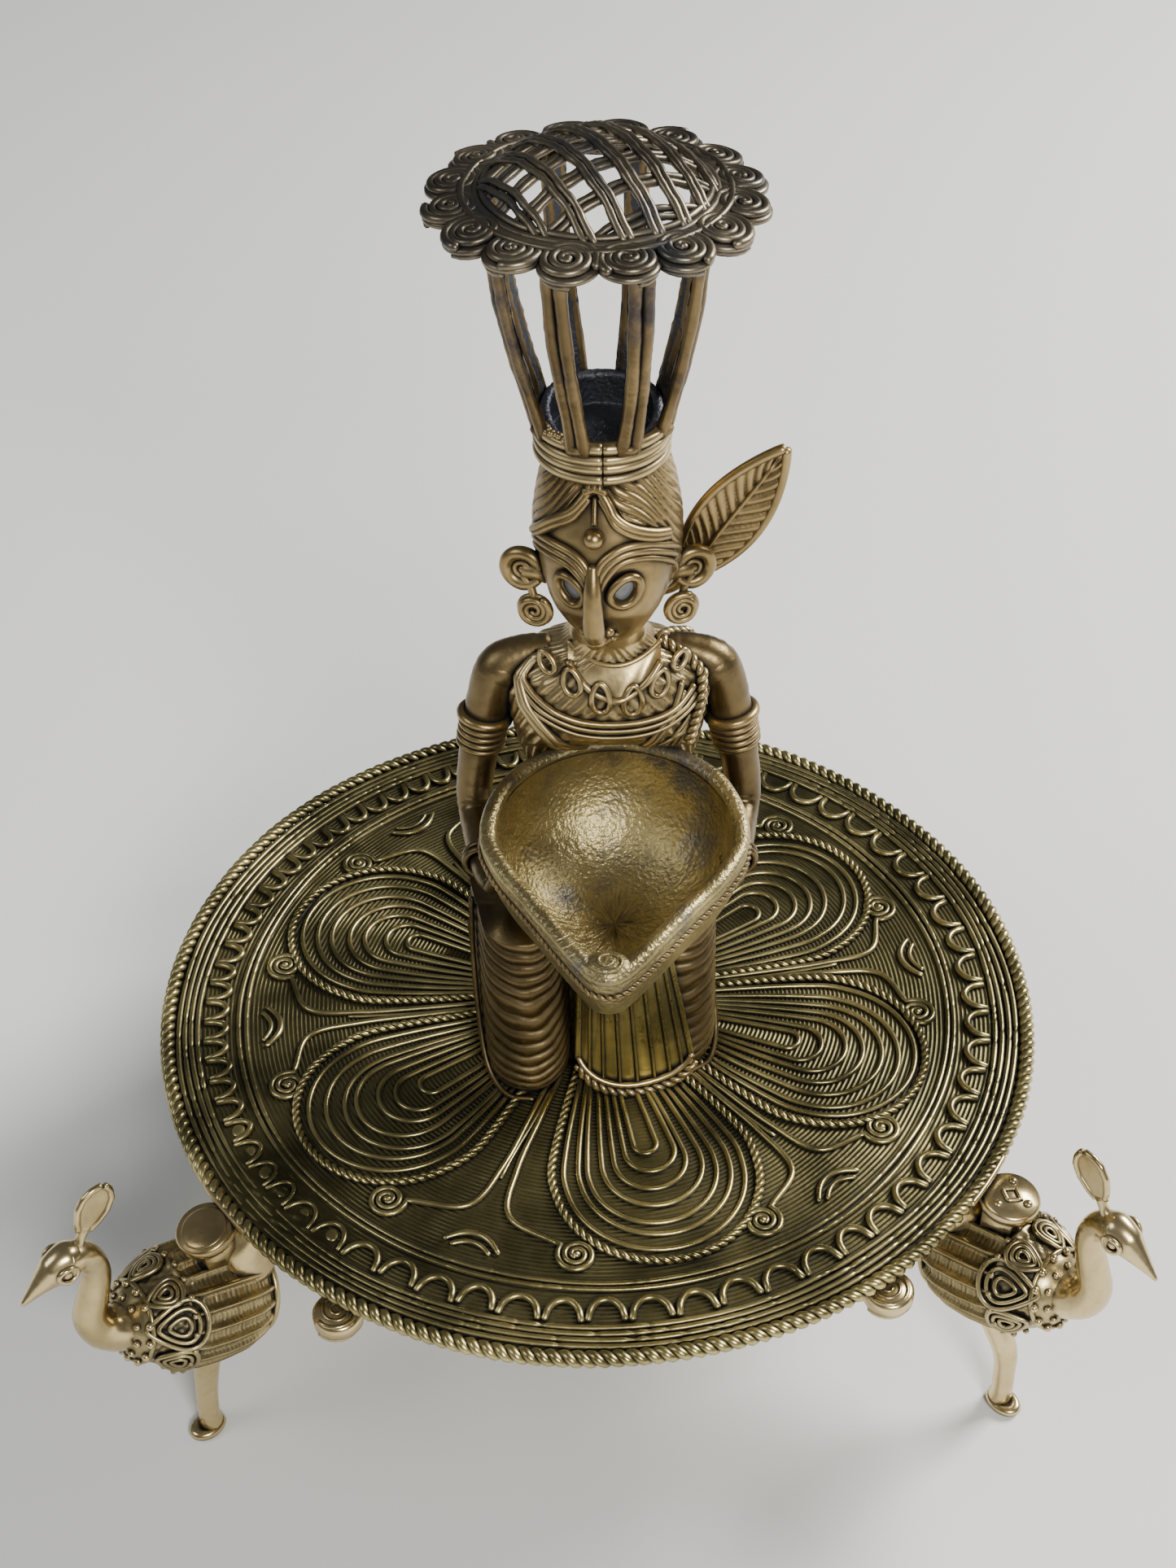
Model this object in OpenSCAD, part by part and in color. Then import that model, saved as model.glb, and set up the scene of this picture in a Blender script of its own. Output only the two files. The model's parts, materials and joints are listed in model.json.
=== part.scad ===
// Brass standing oil lamp in thread work. A kneeling figure holds a pear-shaped oil bowl and carries an
// open basket with a latticed canopy on the head. It stands on a round plate carried by three peacocks.
// Millimetres, +Z up. The origin lies on the standing surface, under the middle of the outline.

/* [Plate] */
// Diameter of the plate over its rope edge
plate_d = 200; // [166:1:240]
// Height of the plate's top above the standing surface
plate_h = 67; // [60:1:80]
// Thickness of the plate
plate_t = 4; // [3:0.5:5]
// Thickness of the twisted rope round the rim
rim_rope_d = 3.4; // [2.8:0.1:4.1]
// Width of a plain laid thread
thread_d = 1.4; // [1.1:0.1:1.7]
// Height of the thin beds that carry the laid patterns
bed_t = 0.6; // [0.4:0.1:0.8]

/* [Plate pattern] */
// Number of plain threads inside the rim rope
outer_thread_n = 4; // [2:1:5]
// Number of plain threads inside the scallops
inner_thread_n = 2; // [1:1:3]
// Number of scallops round the plate
scallop_n = 64; // [54:1:72]
// Radial width of the scallop band
scallop_w = 7; // [6:0.5:8]
// Clear space between the heads of evenly spread petals
petal_gap = 11.5; // [10:0.5:16]
// Distance from the middle of the plate to the petals' points, below the figure
petal_tip = 2; // [0:1:8]
// Number of loops laid inside each petal
petal_loops = 4; // [3:1:5]
// Outside radius of the spirals that end the scrolls
scroll_r = 4.2; // [3.5:0.1:4.6]

/* [Peacock feet] */
// Turn of the left foot from the front
left_az = -52; // [-58:1:-46]
// Turn of the right foot from the front
right_az = 56; // [48:1:60]
// Sideways turn of the right bird towards the front
right_turn = 14; // [0:1:18]
// How much nearer to the rim the right bird sits
right_in = 4; // [0:0.5:5]
// Turn of the two front tail fans towards the front
tail_turn = 4; // [0:1:6]
// Length of a bird's body
body_l = 36; // [32:1:42]
// Greatest thickness of a bird's body
body_d = 27.5; // [24:0.5:30]
// How far a body rises towards its breast
body_tilt = 20; // [12:1:26]
// Thickness of a bird's neck
bird_neck_d = 6.6; // [5.5:0.1:7.5]
// Distance from the rim to the upright of the neck
neck_reach = 32; // [29:0.5:35]
// Height of a bird's head above the plate's top
bird_head_z = 13; // [9:0.5:16]
// Length of a bird's beak beyond its head
beak_l = 12; // [8:1:14]
// Length of a bird's crest
crest_l = 14; // [12:1:18]
// Thickness of a bird's leg at the ankle
leg_d = 5; // [4:0.5:6]
// Diameter of the round pad under a bird's foot
pad_d = 9; // [7:0.5:11]
// Spread of a bird's tail fan, from its middle to its edge
fan_r = 26; // [24:1:29]

/* [Figure] */
// Sideways place of the figure from the plate's middle
fig_x = 3; // [0:0.5:4]
// Width of one kneeling thigh
thigh_w = 19; // [17:1:22]
// Depth of a thigh from front to back
thigh_l = 27; // [24:1:31]
// Turn of the kneeling lower half, left knee forward
base_turn = 12; // [0:1:14]
// Clear space between the thighs, covered by the apron
thigh_gap = 14; // [11:1:17]
// Width of the apron's lower edge
apron_w = 23; // [20:1:27]
// Height from the plate to the shoulders
shoulder_h = 100; // [94:1:112]
// Width of the chest
chest_w = 41; // [36:1:46]
// Width of the waist
waist_w = 32; // [28:1:36]
// Depth of the chest from front to back
chest_l = 24; // [21:1:27]
// Thickness of an upper arm
arm_d = 8; // [7:0.5:9]
// Distance between the middles of the two upper arms at the elbows
elbow_w = 56; // [52:1:62]
// Thickness of the neck
neck_d = 14; // [12:0.5:16]

/* [Oil bowl] */
// Outside width of the oil bowl
bowl_w = 53; // [46:1:56]
// Outside length of the oil bowl from its round end to its spout
bowl_l = 66; // [60:1:78]
// Wall of the oil bowl
bowl_wall = 3; // [2:0.5:4]
// Outside radius of the spout
spout_r = 5.5; // [5:0.5:7]
// Fall from the shoulders to the bowl's rim
bowl_drop = 22; // [18:1:24]
// Fall of the rim towards the spout, in degrees
bowl_tilt = 4; // [2:0.5:6]

/* [Head] */
// Width of the head
head_w = 27; // [25:1:30]
// Height of the head from chin to crown
head_h = 42; // [37:1:46]
// Lean of the head's long axis, chin forward
head_tilt = 18; // [12:1:20]
// Thickness of the hair over the skull
hair_t = 1.4; // [1:0.2:2.2]
// Length of the leaf worn in the hair
leaf_l = 35; // [30:1:40]
// Width of the leaf
leaf_w = 12.5; // [10:0.5:14]

/* [Basket and canopy] */
// How much narrower than the head the wound wire collar is
collar_in = 1; // [0:0.5:2]
// Thickness of the collar's wire
collar_wire = 2.2; // [2:0.1:2.6]
// Number of turns in the collar
collar_turns = 4; // [3:1:5]
// Wall of the basket's cup
cup_wall = 1.8; // [1.4:0.1:2.2]
// Height of the cup's wall above the collar
cup_rise = 2.4; // [1.5:0.1:4]
// Number of flat bars round the basket
slat_n = 8; // [6:1:9]
// Width of a bar
slat_w = 4.4; // [3.8:0.1:4.8]
// Thickness of a bar
slat_t = 1.9; // [1.6:0.1:2.2]
// Height from the collar's foot to the canopy's underside
basket_h = 52; // [45:1:59]
// Diameter of the basket's top, over the bars
basket_top_d = 41; // [38:1:43]
// Forward shift of the canopy over the height of the basket
basket_lean = 5; // [0:1:6]
// Diameter of the canopy over its rosettes
canopy_d = 61; // [58:1:68]
// Number of rosettes round the canopy
rosette_n = 16; // [14:1:18]
// Diameter of a rosette
rosette_d = 11.6; // [10.6:0.2:12.6]
// Thickness of the canopy's edge ring and rosettes
canopy_t = 2.6; // [2:0.2:3.2]
// Rise of the lattice dome above the ring
dome_h = 9.5; // [8:0.5:12]
// Thickness of a lattice wire
lattice_d = 1.9; // [1.6:0.1:2.1]
// Spacing of the lattice wires
lattice_pitch = 5.6; // [5:0.1:6.4]

/* [Fixing] */
// Diameter of the stud that holds the figure to the plate
stud_d = 6; // [5:0.5:7]
// Length of the stud inside the figure
stud_up = 18; // [12:1:24]
// Width of the nut across its flats
nut_af = 10; // [9:0.5:12]
// Thickness of the nut
nut_t = 4; // [3.5:0.5:5]

/* [Hidden] */
$fn = 48;

back_az = 180;
// Turn of each petal from the front
petal_az = [13, 71, 126, 187, 247, 306];
petal_n = len(petal_az);
plate_r = plate_d / 2;
disc_r = plate_r - rim_rope_d / 2;
fit_gap = 0.3;
thread_pitch = thread_d + 0.1;

// Rings of the plate's pattern, from the rim inwards
outer_thread_r = plate_r - rim_rope_d - thread_d * 0.7;
scallop_out = outer_thread_r - outer_thread_n * thread_pitch;
scallop_in = scallop_out - scallop_w;
inner_thread_r = scallop_in - thread_d * 0.7;
petal_out = inner_thread_r - inner_thread_n * thread_pitch - 1.2;
petal_c = (petal_out + petal_gap / 2) / (1 + sin(180 / petal_n));
petal_r = petal_out - petal_c;
scroll_start = 30;
crescent_r = petal_out - 1;

// Bird places are measured outwards from the rim and upwards from the plate's top
body_x = 12;
body_z = -plate_t - body_d / 2 - 3;
breast_x = body_x + (body_l / 2 - 4) * cos(body_tilt);
breast_z = body_z + (body_l / 2 - 4) * sin(body_tilt);
neck_low = [neck_reach - 1, 0, breast_z + 3];
fan_x = -7.5;
fan_twist = 6;
fan_t = 2.4;
coil_r = 5.2;
coil_t = 4.5;
fan_z = -plate_t - coil_t;
crest_w = 6.4;
crest_t = 1.6;
pad_h = 2.5;
leg_x = body_x - 4;
foot_x = body_x + 1;

// Figure places are measured from the plate's top
thigh_x = (thigh_gap + thigh_w) / 2;
thigh_h = shoulder_h * 0.46;
thigh_front = -28;
shin_h = 13;
shin_back = 29;
shin_r = thigh_w * 0.4;
shin_l = shin_back - shin_r - thigh_front - thigh_l;
apron_h = thigh_h - 6;
apron_bulge = 2;
hem_h = 3;
stud_y = thigh_front + thigh_l / 2;
stud_tail = 2;
bowl_r = bowl_w / 2;
bowl_rim_h = shoulder_h - bowl_drop;
bowl_depth = bowl_rim_h - thigh_h - 5.5;
bowl_back = -3.5;
bowl_x = 0.8;
bowl_c = bowl_back - bowl_r;
spout_y = -(bowl_l - bowl_r - spout_r);
waist_front = bowl_back - 1;
chin_z = shoulder_h + 9;
head_c = chin_z + head_h * 0.42;
head_y = -4;
collar_d = head_w - collar_in;
collar_x = fig_x - 1;
collar_z = chin_z + head_h - 4;
collar_h = collar_turns * (collar_wire - 0.1);
cup_r = collar_d / 2 - collar_wire * 0.75;
cup_z = collar_z + 2;
cup_top = collar_z + collar_h + cup_rise;
canopy_x = fig_x - 1.7;
canopy_z = collar_z + basket_h;
basket_top_r = basket_top_d / 2;
ring_out = canopy_d / 2 - rosette_d * 0.62;
ring_in = basket_top_r + slat_t - 3;
dome_r = ring_in + 1.5;
dome_sphere = (dome_r * dome_r + dome_h * dome_h) / (2 * dome_h);
rosette_c = canopy_d / 2 - rosette_d / 2;

// The outline's middle: the left beak against the right one, and the front rim against the back beak
bird_reach = neck_reach + beak_l + 1;
left_reach = (plate_r + bird_reach) * sin(-left_az);
right_reach = plate_r * sin(right_az) + (bird_reach - right_in) * sin(right_az - right_turn);
lamp_x = (left_reach - right_reach) / 2;
lamp_y = -bird_reach / 2;

antique = [0.52, 0.45, 0.24];
bright = [0.80, 0.66, 0.36];
warm = [0.60, 0.46, 0.22];
dark = [0.30, 0.26, 0.20];

// Points of a straight-sided curve through four guides
function bezier(a, b, c, d, n) =
    [for (i = [0:n]) let (t = i / n, s = 1 - t) s*s*s*a + 3*s*s*t*b + 3*s*t*t*c + t*t*t*d];

// Direction of a path at each of its points
function heading(p, i) =
    let (a = p[max(i - 1, 0)], b = p[min(i + 1, len(p) - 1)], d = b - a) d / norm(d);

// A flat thread of width w along the points p
module ribbon(p, w) {
    left = [for (i = [0:len(p) - 1]) let (h = heading(p, i)) p[i] + w / 2 * [-h[1], h[0]]];
    right = [for (i = [len(p) - 1:-1:0]) let (h = heading(p, i)) p[i] - w / 2 * [-h[1], h[0]]];
    polygon(concat(left, right));
}

// Round head of radius r at x = head, drawn out to a point at x = tip
module teardrop(tip, head, r) {
    a = acos(r / abs(head - tip));
    s = sign(tip - head);
    k = 0.97 * r;
    translate([head, 0]) circle(r);
    polygon([[tip, 0], [head + s * k * cos(a), k * sin(a)], [head, 0], [head + s * k * cos(a), -k * sin(a)]]);
}

// Outline of the oil bowl, grown by g, with the round end at the origin and the spout towards -Y
module pear(g) hull() {
    circle(bowl_r + g);
    translate([0, spout_y]) circle(spout_r + g);
}

// Outline of a leaf of this length and width, from its stalk at the origin along +X
module leaf(length, width) intersection() {
    r = (length * length + width * width) / (4 * width);
    translate([length / 2, r - width / 2]) circle(r, $fn = 96);
    translate([length / 2, width / 2 - r]) circle(r, $fn = 96);
}

module rod(a, b, d1, d2) {
    v = b - a;
    translate(a)
        rotate([0, acos(v[2] / norm(v)), atan2(v[1], v[0])])
            cylinder(h = norm(v), d1 = d1, d2 = d2);
}

module on_plate() translate([lamp_x, lamp_y, plate_h]) children();

module at_figure() on_plate() translate([fig_x, 0, 0]) children();

// The lower half turns about the front of the knees
module turned_base() translate([0, thigh_front, 0]) rotate([0, 0, base_turn])
    translate([0, -thigh_front, 0]) children();

// Local +X points outwards at this turn from the front, starting at the rim
module at_rim(az) on_plate() rotate([0, 0, az - 90]) translate([plate_r, 0, 0]) children();

// The same place for a bird, where the right bird looks round to the front
module at_bird(az) at_rim(az) rotate([0, 0, az == right_az ? -right_turn : 0])
    translate([-inwards(az), 0, 0]) children();

function inwards(az) = az == right_az ? right_in : 0;

// 1 for the right bird, -1 for the left one and 0 for the one behind
function side(az) = az == right_az ? 1 : az == left_az ? -1 : 0;

module plate() color(antique) on_plate() difference() {
    translate([0, 0, -plate_t]) cylinder(r = disc_r, h = plate_t, $fn = 180);
    rotate_extrude($fn = 180) translate([disc_r, 0]) circle(d = rim_rope_d);
    translate([fig_x, 0, -plate_t - 1]) turned_base() translate([0, stud_y, 0])
        cylinder(d = stud_d + 2 * fit_gap, h = plate_t + 2);
}

module rim_rope() color(antique) on_plate()
    rotate_extrude($fn = 180) translate([disc_r, 0]) circle(d = rim_rope_d);

// A thread laid in a ring, with a flat-sided round back
module laid_ring(r) rotate_extrude($fn = 180) polygon([
    [r - thread_d * 0.5, 0], [r + thread_d * 0.5, 0], [r + thread_d * 0.42, thread_d * 0.27],
    [r + thread_d * 0.18, thread_d * 0.46], [r - thread_d * 0.18, thread_d * 0.46],
    [r - thread_d * 0.42, thread_d * 0.27]
]);

module thread_rings() color(antique) on_plate() {
    for (i = [0:outer_thread_n - 1]) laid_ring(outer_thread_r - i * thread_pitch);
    for (i = [0:inner_thread_n - 1]) laid_ring(inner_thread_r - i * thread_pitch);
}

module scallop_band() color(antique) on_plate() {
    r = PI * scallop_out / scallop_n - 0.4;
    linear_extrude(bed_t) difference() {
        circle(scallop_out, $fn = 180);
        circle(scallop_in, $fn = 180);
    }
    for (i = [0:scallop_n - 1]) rotate([0, 0, i * 360 / scallop_n])
        linear_extrude(bed_t + thread_d / 2) intersection() {
            translate([scallop_out - 1, 0]) difference() {
                circle(r, $fn = 24);
                circle(r - thread_d * 0.8, $fn = 24);
            }
            translate([scallop_in, -r]) square([scallop_w - 1, 2 * r]);
        }
}

// One petal: a bed with a rope outline and loops nested inside it
module petal(i) color(antique) on_plate() difference() {
    rotate([0, 0, petal_az[i] - 90]) {
        linear_extrude(bed_t) teardrop(petal_tip, petal_c, petal_r);
        linear_extrude(bed_t + thread_d) difference() {
            teardrop(petal_tip, petal_c, petal_r);
            teardrop(petal_tip + 5, petal_c, petal_r - 1.8);
        }
        for (k = [1:petal_loops]) petal_loop(k / (petal_loops + 0.6));
    }
    linear_extrude(2 * thread_d + bed_t) base_outline(fit_gap);
}

// A loop inside a petal, at this share of the way from its outline to its middle
module petal_loop(share) {
    reach = petal_out - 4 - 22 * share;
    r = (petal_r - 2) * (1 - share);
    linear_extrude(bed_t + thread_d / 2) difference() {
        teardrop(petal_tip + 3, reach - r, r);
        teardrop(petal_tip + 10, reach - r, r - 1.1);
    }
}

// What the kneeling figure covers on the plate, grown by g
module base_outline(g) translate([fig_x, 0]) turned_base() {
    r = thigh_w / 2;
    for (s = [-1, 1]) translate([s * thigh_x, 0]) {
        translate([0, thigh_front + r]) circle(r + g);
        translate([-r - g, thigh_front + r]) square([thigh_w + 2 * g, thigh_l - r + g]);
        translate([0, shin_back - shin_r]) circle(shin_r + g);
        translate([-shin_r - g, thigh_front + thigh_l]) square([2 * shin_r + 2 * g, shin_l]);
    }
    translate([-apron_w / 2 - g, thigh_front + 0.5 - g]) square([apron_w + 2 * g, thigh_l - 0.5 + g]);
}

// Width of the sector that follows petal i
function sector(i) = (petal_az[(i + 1) % petal_n] - petal_az[i] + 360) % 360;

// One scroll: a stem that leaves the middle and winds up in a spiral beside a petal's head
module scroll(width) {
    half = width * 0.24;
    reach = petal_out - 1;
    c = [reach * cos(half), reach * sin(half)];
    start = -40;
    a = c + scroll_r * [cos(start), sin(start)];
    t = [-sin(start), cos(start)];
    stem = bezier([scroll_start, 1.2], [petal_c - 4, 2], a - 8 * t, a, 14);
    coil = [for (i = [1:26]) let (s = start + i * 24, r = scroll_r * (1 - 0.78 * i / 26))
        c + r * [cos(s), sin(s)]];
    linear_extrude(thread_d) ribbon(concat(stem, coil), thread_d * 0.7);
}

module scrolls() color(antique) on_plate() difference() {
    for (i = [0:petal_n - 1]) rotate([0, 0, petal_az[i] + sector(i) / 2 - 90]) {
        scroll(sector(i));
        mirror([0, 1, 0]) scroll(sector(i));
    }
    translate([0, 0, -1]) linear_extrude(2 * thread_d + 1) base_outline(fit_gap);
}

module crescents() color(antique) on_plate()
    for (i = [0:petal_n - 1]) rotate([0, 0, petal_az[i] + sector(i) / 2 - 90])
        linear_extrude(thread_d) intersection() {
            translate([crescent_r + 3, 0]) difference() {
                circle(7.5);
                circle(7.5 - thread_d);
            }
            translate([crescent_r - 6, -6]) square([5.5, 12]);
        }

// Outline of a bird's body from its tail end to its breast, grown by g
function body_outline(g) = [
    [0, -body_l / 2 - g], [body_d * 0.30 + g, -body_l * 0.49], [body_d * 0.42 + g, -body_l * 0.42],
    [body_d * 0.48 + g, -body_l * 0.30], [body_d * 0.5 + g, -body_l * 0.12],
    [body_d * 0.49 + g, body_l * 0.06], [body_d * 0.44 + g, body_l * 0.20],
    [body_d * 0.35 + g, body_l * 0.33], [body_d * 0.23 + g, body_l * 0.43], [0, body_l / 2 + g]
];

module body_solid(g) translate([body_x, 0, body_z]) rotate([0, 90 - body_tilt, 0])
    rotate_extrude($fn = 64) polygon(body_outline(g));

// The neck is let into the breast
module bird_body(az) color(bright) at_bird(az) difference() {
    body_solid(0);
    neck_root();
}

module neck_root() rod([breast_x - 6, 0, breast_z], neck_low, bird_neck_d * 1.5, bird_neck_d);

module bird_neck(az) color(bright) at_bird(az) {
    nape = [neck_reach - 3, 0, bird_head_z - 7];
    head = [neck_reach + 2, 0, bird_head_z];
    neck_root();
    translate(neck_low) sphere(d = bird_neck_d * 1.1);
    rod(neck_low, nape, bird_neck_d, bird_neck_d * 0.8);
    translate(nape) sphere(d = bird_neck_d * 0.9);
    rod(nape, head, bird_neck_d * 0.8, bird_neck_d * 0.9);
    translate(head) sphere(d = bird_neck_d * 1.35);
    rod(head, head + [beak_l - 1, 0, -beak_l * 0.45], bird_neck_d * 1.2, 1);
}

module bird_crest(az) color(bright) at_bird(az) difference() {
    translate([neck_reach, 0, bird_head_z + bird_neck_d * 0.45]) rotate([90, 0, 0])
        rotate([0, 0, 122]) translate([0, 0, -crest_t / 2]) linear_extrude(crest_t) leaf(crest_l, crest_w);
    translate([neck_reach + 2, 0, bird_head_z]) sphere(d = bird_neck_d * 1.35);
}

// The two wings are shells on the body's sides
module bird_wings(az) color(bright) at_bird(az) for (s = [-1, 1]) difference() {
    inner = body_d * 0.2;
    intersection() {
        body_solid(1.5);
        translate([body_x, 0, body_z]) rotate([90, -body_tilt, 0])
            translate([0, 0, s > 0 ? inner : -inner - body_d]) linear_extrude(body_d)
                translate([body_l * 0.08, body_d * 0.12]) teardrop(-body_l * 0.3, body_l * 0.08, body_d * 0.25);
    }
    body_solid(0);
}

module bird_leg(az) color(bright) at_bird(az) difference() {
    knee = [leg_x, 0, body_z - body_d * 0.38];
    foot = foot_x + inwards(az);
    union() {
        rod(knee, [foot - 1, 0, pad_h - plate_h], leg_d * 1.5, leg_d);
        translate([foot, 0, -plate_h]) cylinder(d = pad_d, h = pad_h);
    }
    body_solid(0);
}

// A fan under the plate, edged with coiled eyes
module bird_tail(az) color(bright) difference() {
    union() {
        at_rim(az - tail_turn * side(az)) translate([fan_x, 0, fan_z]) rotate([0, 0, fan_twist * side(az)]) {
            translate([0, 0, coil_t - fan_t]) linear_extrude(fan_t) intersection() {
                circle(fan_r);
                translate([-fan_r, -fan_r]) square([fan_r, 2 * fan_r]);
            }
            for (a = [90:30:270])
                translate([(fan_r - 3) * cos(a), fan_r * sin(a), 0]) cylinder(r = coil_r, h = coil_t);
        }
        at_bird(az)
            rod([fan_x + 2, 0, fan_z + coil_t - 1], [body_x - body_l * 0.4, 0, body_z], body_d * 0.5, body_d * 0.6);
    }
    at_bird(az) body_solid(0);
    at_rim(az) lug();
    on_plate() translate([0, 0, -plate_t]) cylinder(r = plate_r, h = plate_t + 1, $fn = 180);
}

// The block between the rim and a bird's back
module lug() translate([1, -4.5, body_z + body_d * 0.3])
    cube([6, 9, -body_z - body_d * 0.3 - plate_t + 0.5]);

// The lug brazed to the rim carries the bird and shows a round tab on top
module rim_tab(az) color(bright) difference() {
    at_rim(az) {
        difference() {
            translate([5, 0, -plate_t]) cylinder(d = 13, h = plate_t + 1);
            translate([-plate_r, 0, -plate_t - 1]) cylinder(r = plate_r, h = plate_t + 3, $fn = 180);
        }
        lug();
    }
    at_bird(az) body_solid(0);
}

module thigh(s) at_figure() turned_base() translate([s * thigh_x, 0, 0]) {
    r = thigh_w / 2;
    linear_extrude(thigh_h) {
        translate([0, thigh_front + r]) circle(r);
        translate([-r, thigh_front + r]) square([thigh_w, thigh_l - r]);
    }
}

module left_thigh() color(warm) thigh(-1);

module right_thigh() color(warm) thigh(1);

// Lower legs folded back under the figure
module shins() color(warm) at_figure() turned_base() {
    for (s = [-1, 1]) translate([s * thigh_x, 0, 0]) linear_extrude(shin_h) {
        translate([0, shin_back - shin_r]) circle(shin_r);
        translate([-shin_r, thigh_front + thigh_l]) square([2 * shin_r, shin_l]);
    }
}

// The apron's pleats, and the block of metal behind them that fills the gap between the thighs
module apron() color(warm) at_figure() turned_base() difference() {
    union() {
        translate([0, thigh_front + thigh_w * 0.45, 0]) rotate([90, 0, 0]) linear_extrude(thigh_w * 0.45 - 1)
            polygon([
                [-apron_w / 2, hem_h], [apron_w / 2, hem_h],
                [thigh_gap / 2 + apron_bulge, apron_h], [-thigh_gap / 2 - apron_bulge, apron_h]
            ]);
        translate([-thigh_gap / 2, thigh_front + thigh_w * 0.45, 0])
            cube([thigh_gap, thigh_l - thigh_w * 0.45, apron_h]);
    }
    thigh_cut(-1);
    thigh_cut(1);
    translate([0, stud_y, -1]) cylinder(d = stud_d, h = stud_up + 1);
}

// Space of one thigh, cut from the apron so that the two meet face to face
module thigh_cut(s) translate([s * thigh_x, thigh_front + thigh_w / 2, -1]) {
    cylinder(d = thigh_w, h = thigh_h + 2);
    translate([-thigh_w / 2, 0, 0]) cube([thigh_w, thigh_l, thigh_h + 2]);
}

module apron_rope() color(warm) at_figure() turned_base() difference() {
    translate([-apron_w / 2, thigh_front + 0.5, 0]) cube([apron_w, thigh_w * 0.45 - 0.5, hem_h]);
    thigh_cut(-1);
    thigh_cut(1);
}

// The trunk is where its outlines from the front, the side and above meet
module torso() color(warm) at_figure() {
    top = shoulder_h;
    neck_top = chin_z + 5;
    hip = thigh_x + thigh_w * 0.35;
    back = thigh_front + thigh_l + 12;
    intersection() {
        translate([0, 40, 0]) rotate([90, 0, 0]) linear_extrude(80) polygon([
            [-hip, thigh_h], [hip, thigh_h], [hip - 3, thigh_h + 6], [waist_w / 2, thigh_h + 16],
            [waist_w / 2, thigh_h + 22], [chest_w / 2 - 2, top - 20], [chest_w / 2, top - 10],
            [chest_w / 2 - 2, top - 1], [neck_d / 2, top + 2], [neck_d / 2, neck_top],
            [-neck_d / 2, neck_top], [-neck_d / 2, top + 2], [-chest_w / 2 + 2, top - 1],
            [-chest_w / 2, top - 10], [-chest_w / 2 + 2, top - 20], [-waist_w / 2, thigh_h + 22],
            [-waist_w / 2, thigh_h + 16], [-hip + 3, thigh_h + 6]
        ]);
        rotate([90, 0, 90]) translate([0, 0, -40]) linear_extrude(80) polygon([
            [thigh_front + 14, thigh_h], [back, thigh_h], [back - 1, thigh_h + 10], [chest_l / 2, top - 20],
            [chest_l / 2, top - 4], [neck_d / 2, top + 2], [neck_d / 2, neck_top],
            [-neck_d / 2, neck_top], [-neck_d / 2, top + 3], [-chest_l / 2, top - 3],
            [-chest_l / 2, bowl_rim_h + 5], [waist_front, bowl_rim_h + 3], [waist_front, thigh_h + 6]
        ]);
        linear_extrude(200) {
            for (s = [-1, 1]) translate([s * (hip - 13), 0]) circle(15);
            translate([13 - hip, -15]) square([2 * hip - 26, 30]);
        }
    }
}

// Bright choker and the row of drop loops below it
module necklace() color(bright) at_figure() translate([0, 0, shoulder_h + 1]) {
    rotate([12, 0, 0]) rotate_extrude() translate([neck_d / 2 + 1.5, 0]) square([3, 3]);
    for (a = [-150:20:-30]) rotate([12, 0, a]) translate([neck_d / 2 + 6, 0, -4]) rotate([0, 55, 0])
        cylinder(d = 5, h = 4, center = true);
}

// Strap from the shoulder to the far side of the waist, and the braid on the other shoulder
module sash() color(warm) at_figure() {
    z = bowl_rim_h + 6;
    rod([-chest_w / 2 + 5, -chest_l / 2 + 1, shoulder_h - 5], [4, -chest_l / 2, z], 4, 4);
    rod([chest_w / 2 - 4, -chest_l / 2 + 3, shoulder_h - 3], [chest_w / 2 - 4, -chest_l / 2 + 1, z], 4, 4);
}

module arm(s) at_figure() {
    shoulder = [s * (chest_w / 2 + 2), 0, shoulder_h - 5];
    elbow = [s * elbow_w / 2, -2, bowl_rim_h - 14];
    hand = [s * (bowl_r - 2.5), bowl_c + 2, bowl_rim_h - bowl_depth * 0.6];
    translate(shoulder) sphere(d = arm_d * 1.35);
    rod(shoulder, elbow, arm_d * 1.1, arm_d * 0.9);
    translate(elbow) sphere(d = arm_d);
    rod(elbow, hand, arm_d * 0.85, arm_d * 0.7);
    translate(hand) sphere(d = arm_d * 0.9);
}

module left_arm() color(warm) arm(-1);

module right_arm() color(warm) arm(1);

module armlets() color(warm) at_figure() for (s = [-1, 1]) {
    shoulder = [s * (chest_w / 2 + 2), 0, shoulder_h - 5];
    elbow = [s * elbow_w / 2, -2, bowl_rim_h - 14];
    along = (elbow - shoulder) / norm(elbow - shoulder);
    middle = shoulder + along * (norm(elbow - shoulder) * 0.5);
    difference() {
        rod(middle - along * 3, middle + along * 3, arm_d + 3, arm_d + 3);
        rod(shoulder, elbow, arm_d * 1.1, arm_d * 0.9);
    }
}

module at_bowl() at_figure() translate([bowl_x, bowl_c, bowl_rim_h]) rotate([bowl_tilt, 0, -3]) children();

module oil_bowl() color(warm) at_bowl() difference() {
    scale([1, 1, bowl_depth / bowl_r]) hull() {
        sphere(bowl_r, $fn = 40);
        translate([0, spout_y, 0]) sphere(spout_r, $fn = 24);
    }
    scale([1, 1, bowl_depth / bowl_r]) hull() {
        translate([0, 0, bowl_wall * 0.3]) sphere(bowl_r - bowl_wall, $fn = 40);
        translate([0, spout_y + 3, bowl_wall * 0.3]) sphere(spout_r - bowl_wall + 0.5, $fn = 24);
    }
    translate([-bowl_w, -2 * bowl_l, 0]) cube([2 * bowl_w, 3 * bowl_l, bowl_w]);
}

module bowl_rope() color(warm) at_bowl() translate([0, 0, -bowl_depth * 0.19]) linear_extrude(2.4) difference() {
    pear(1.2);
    pear(-0.5);
}

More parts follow.
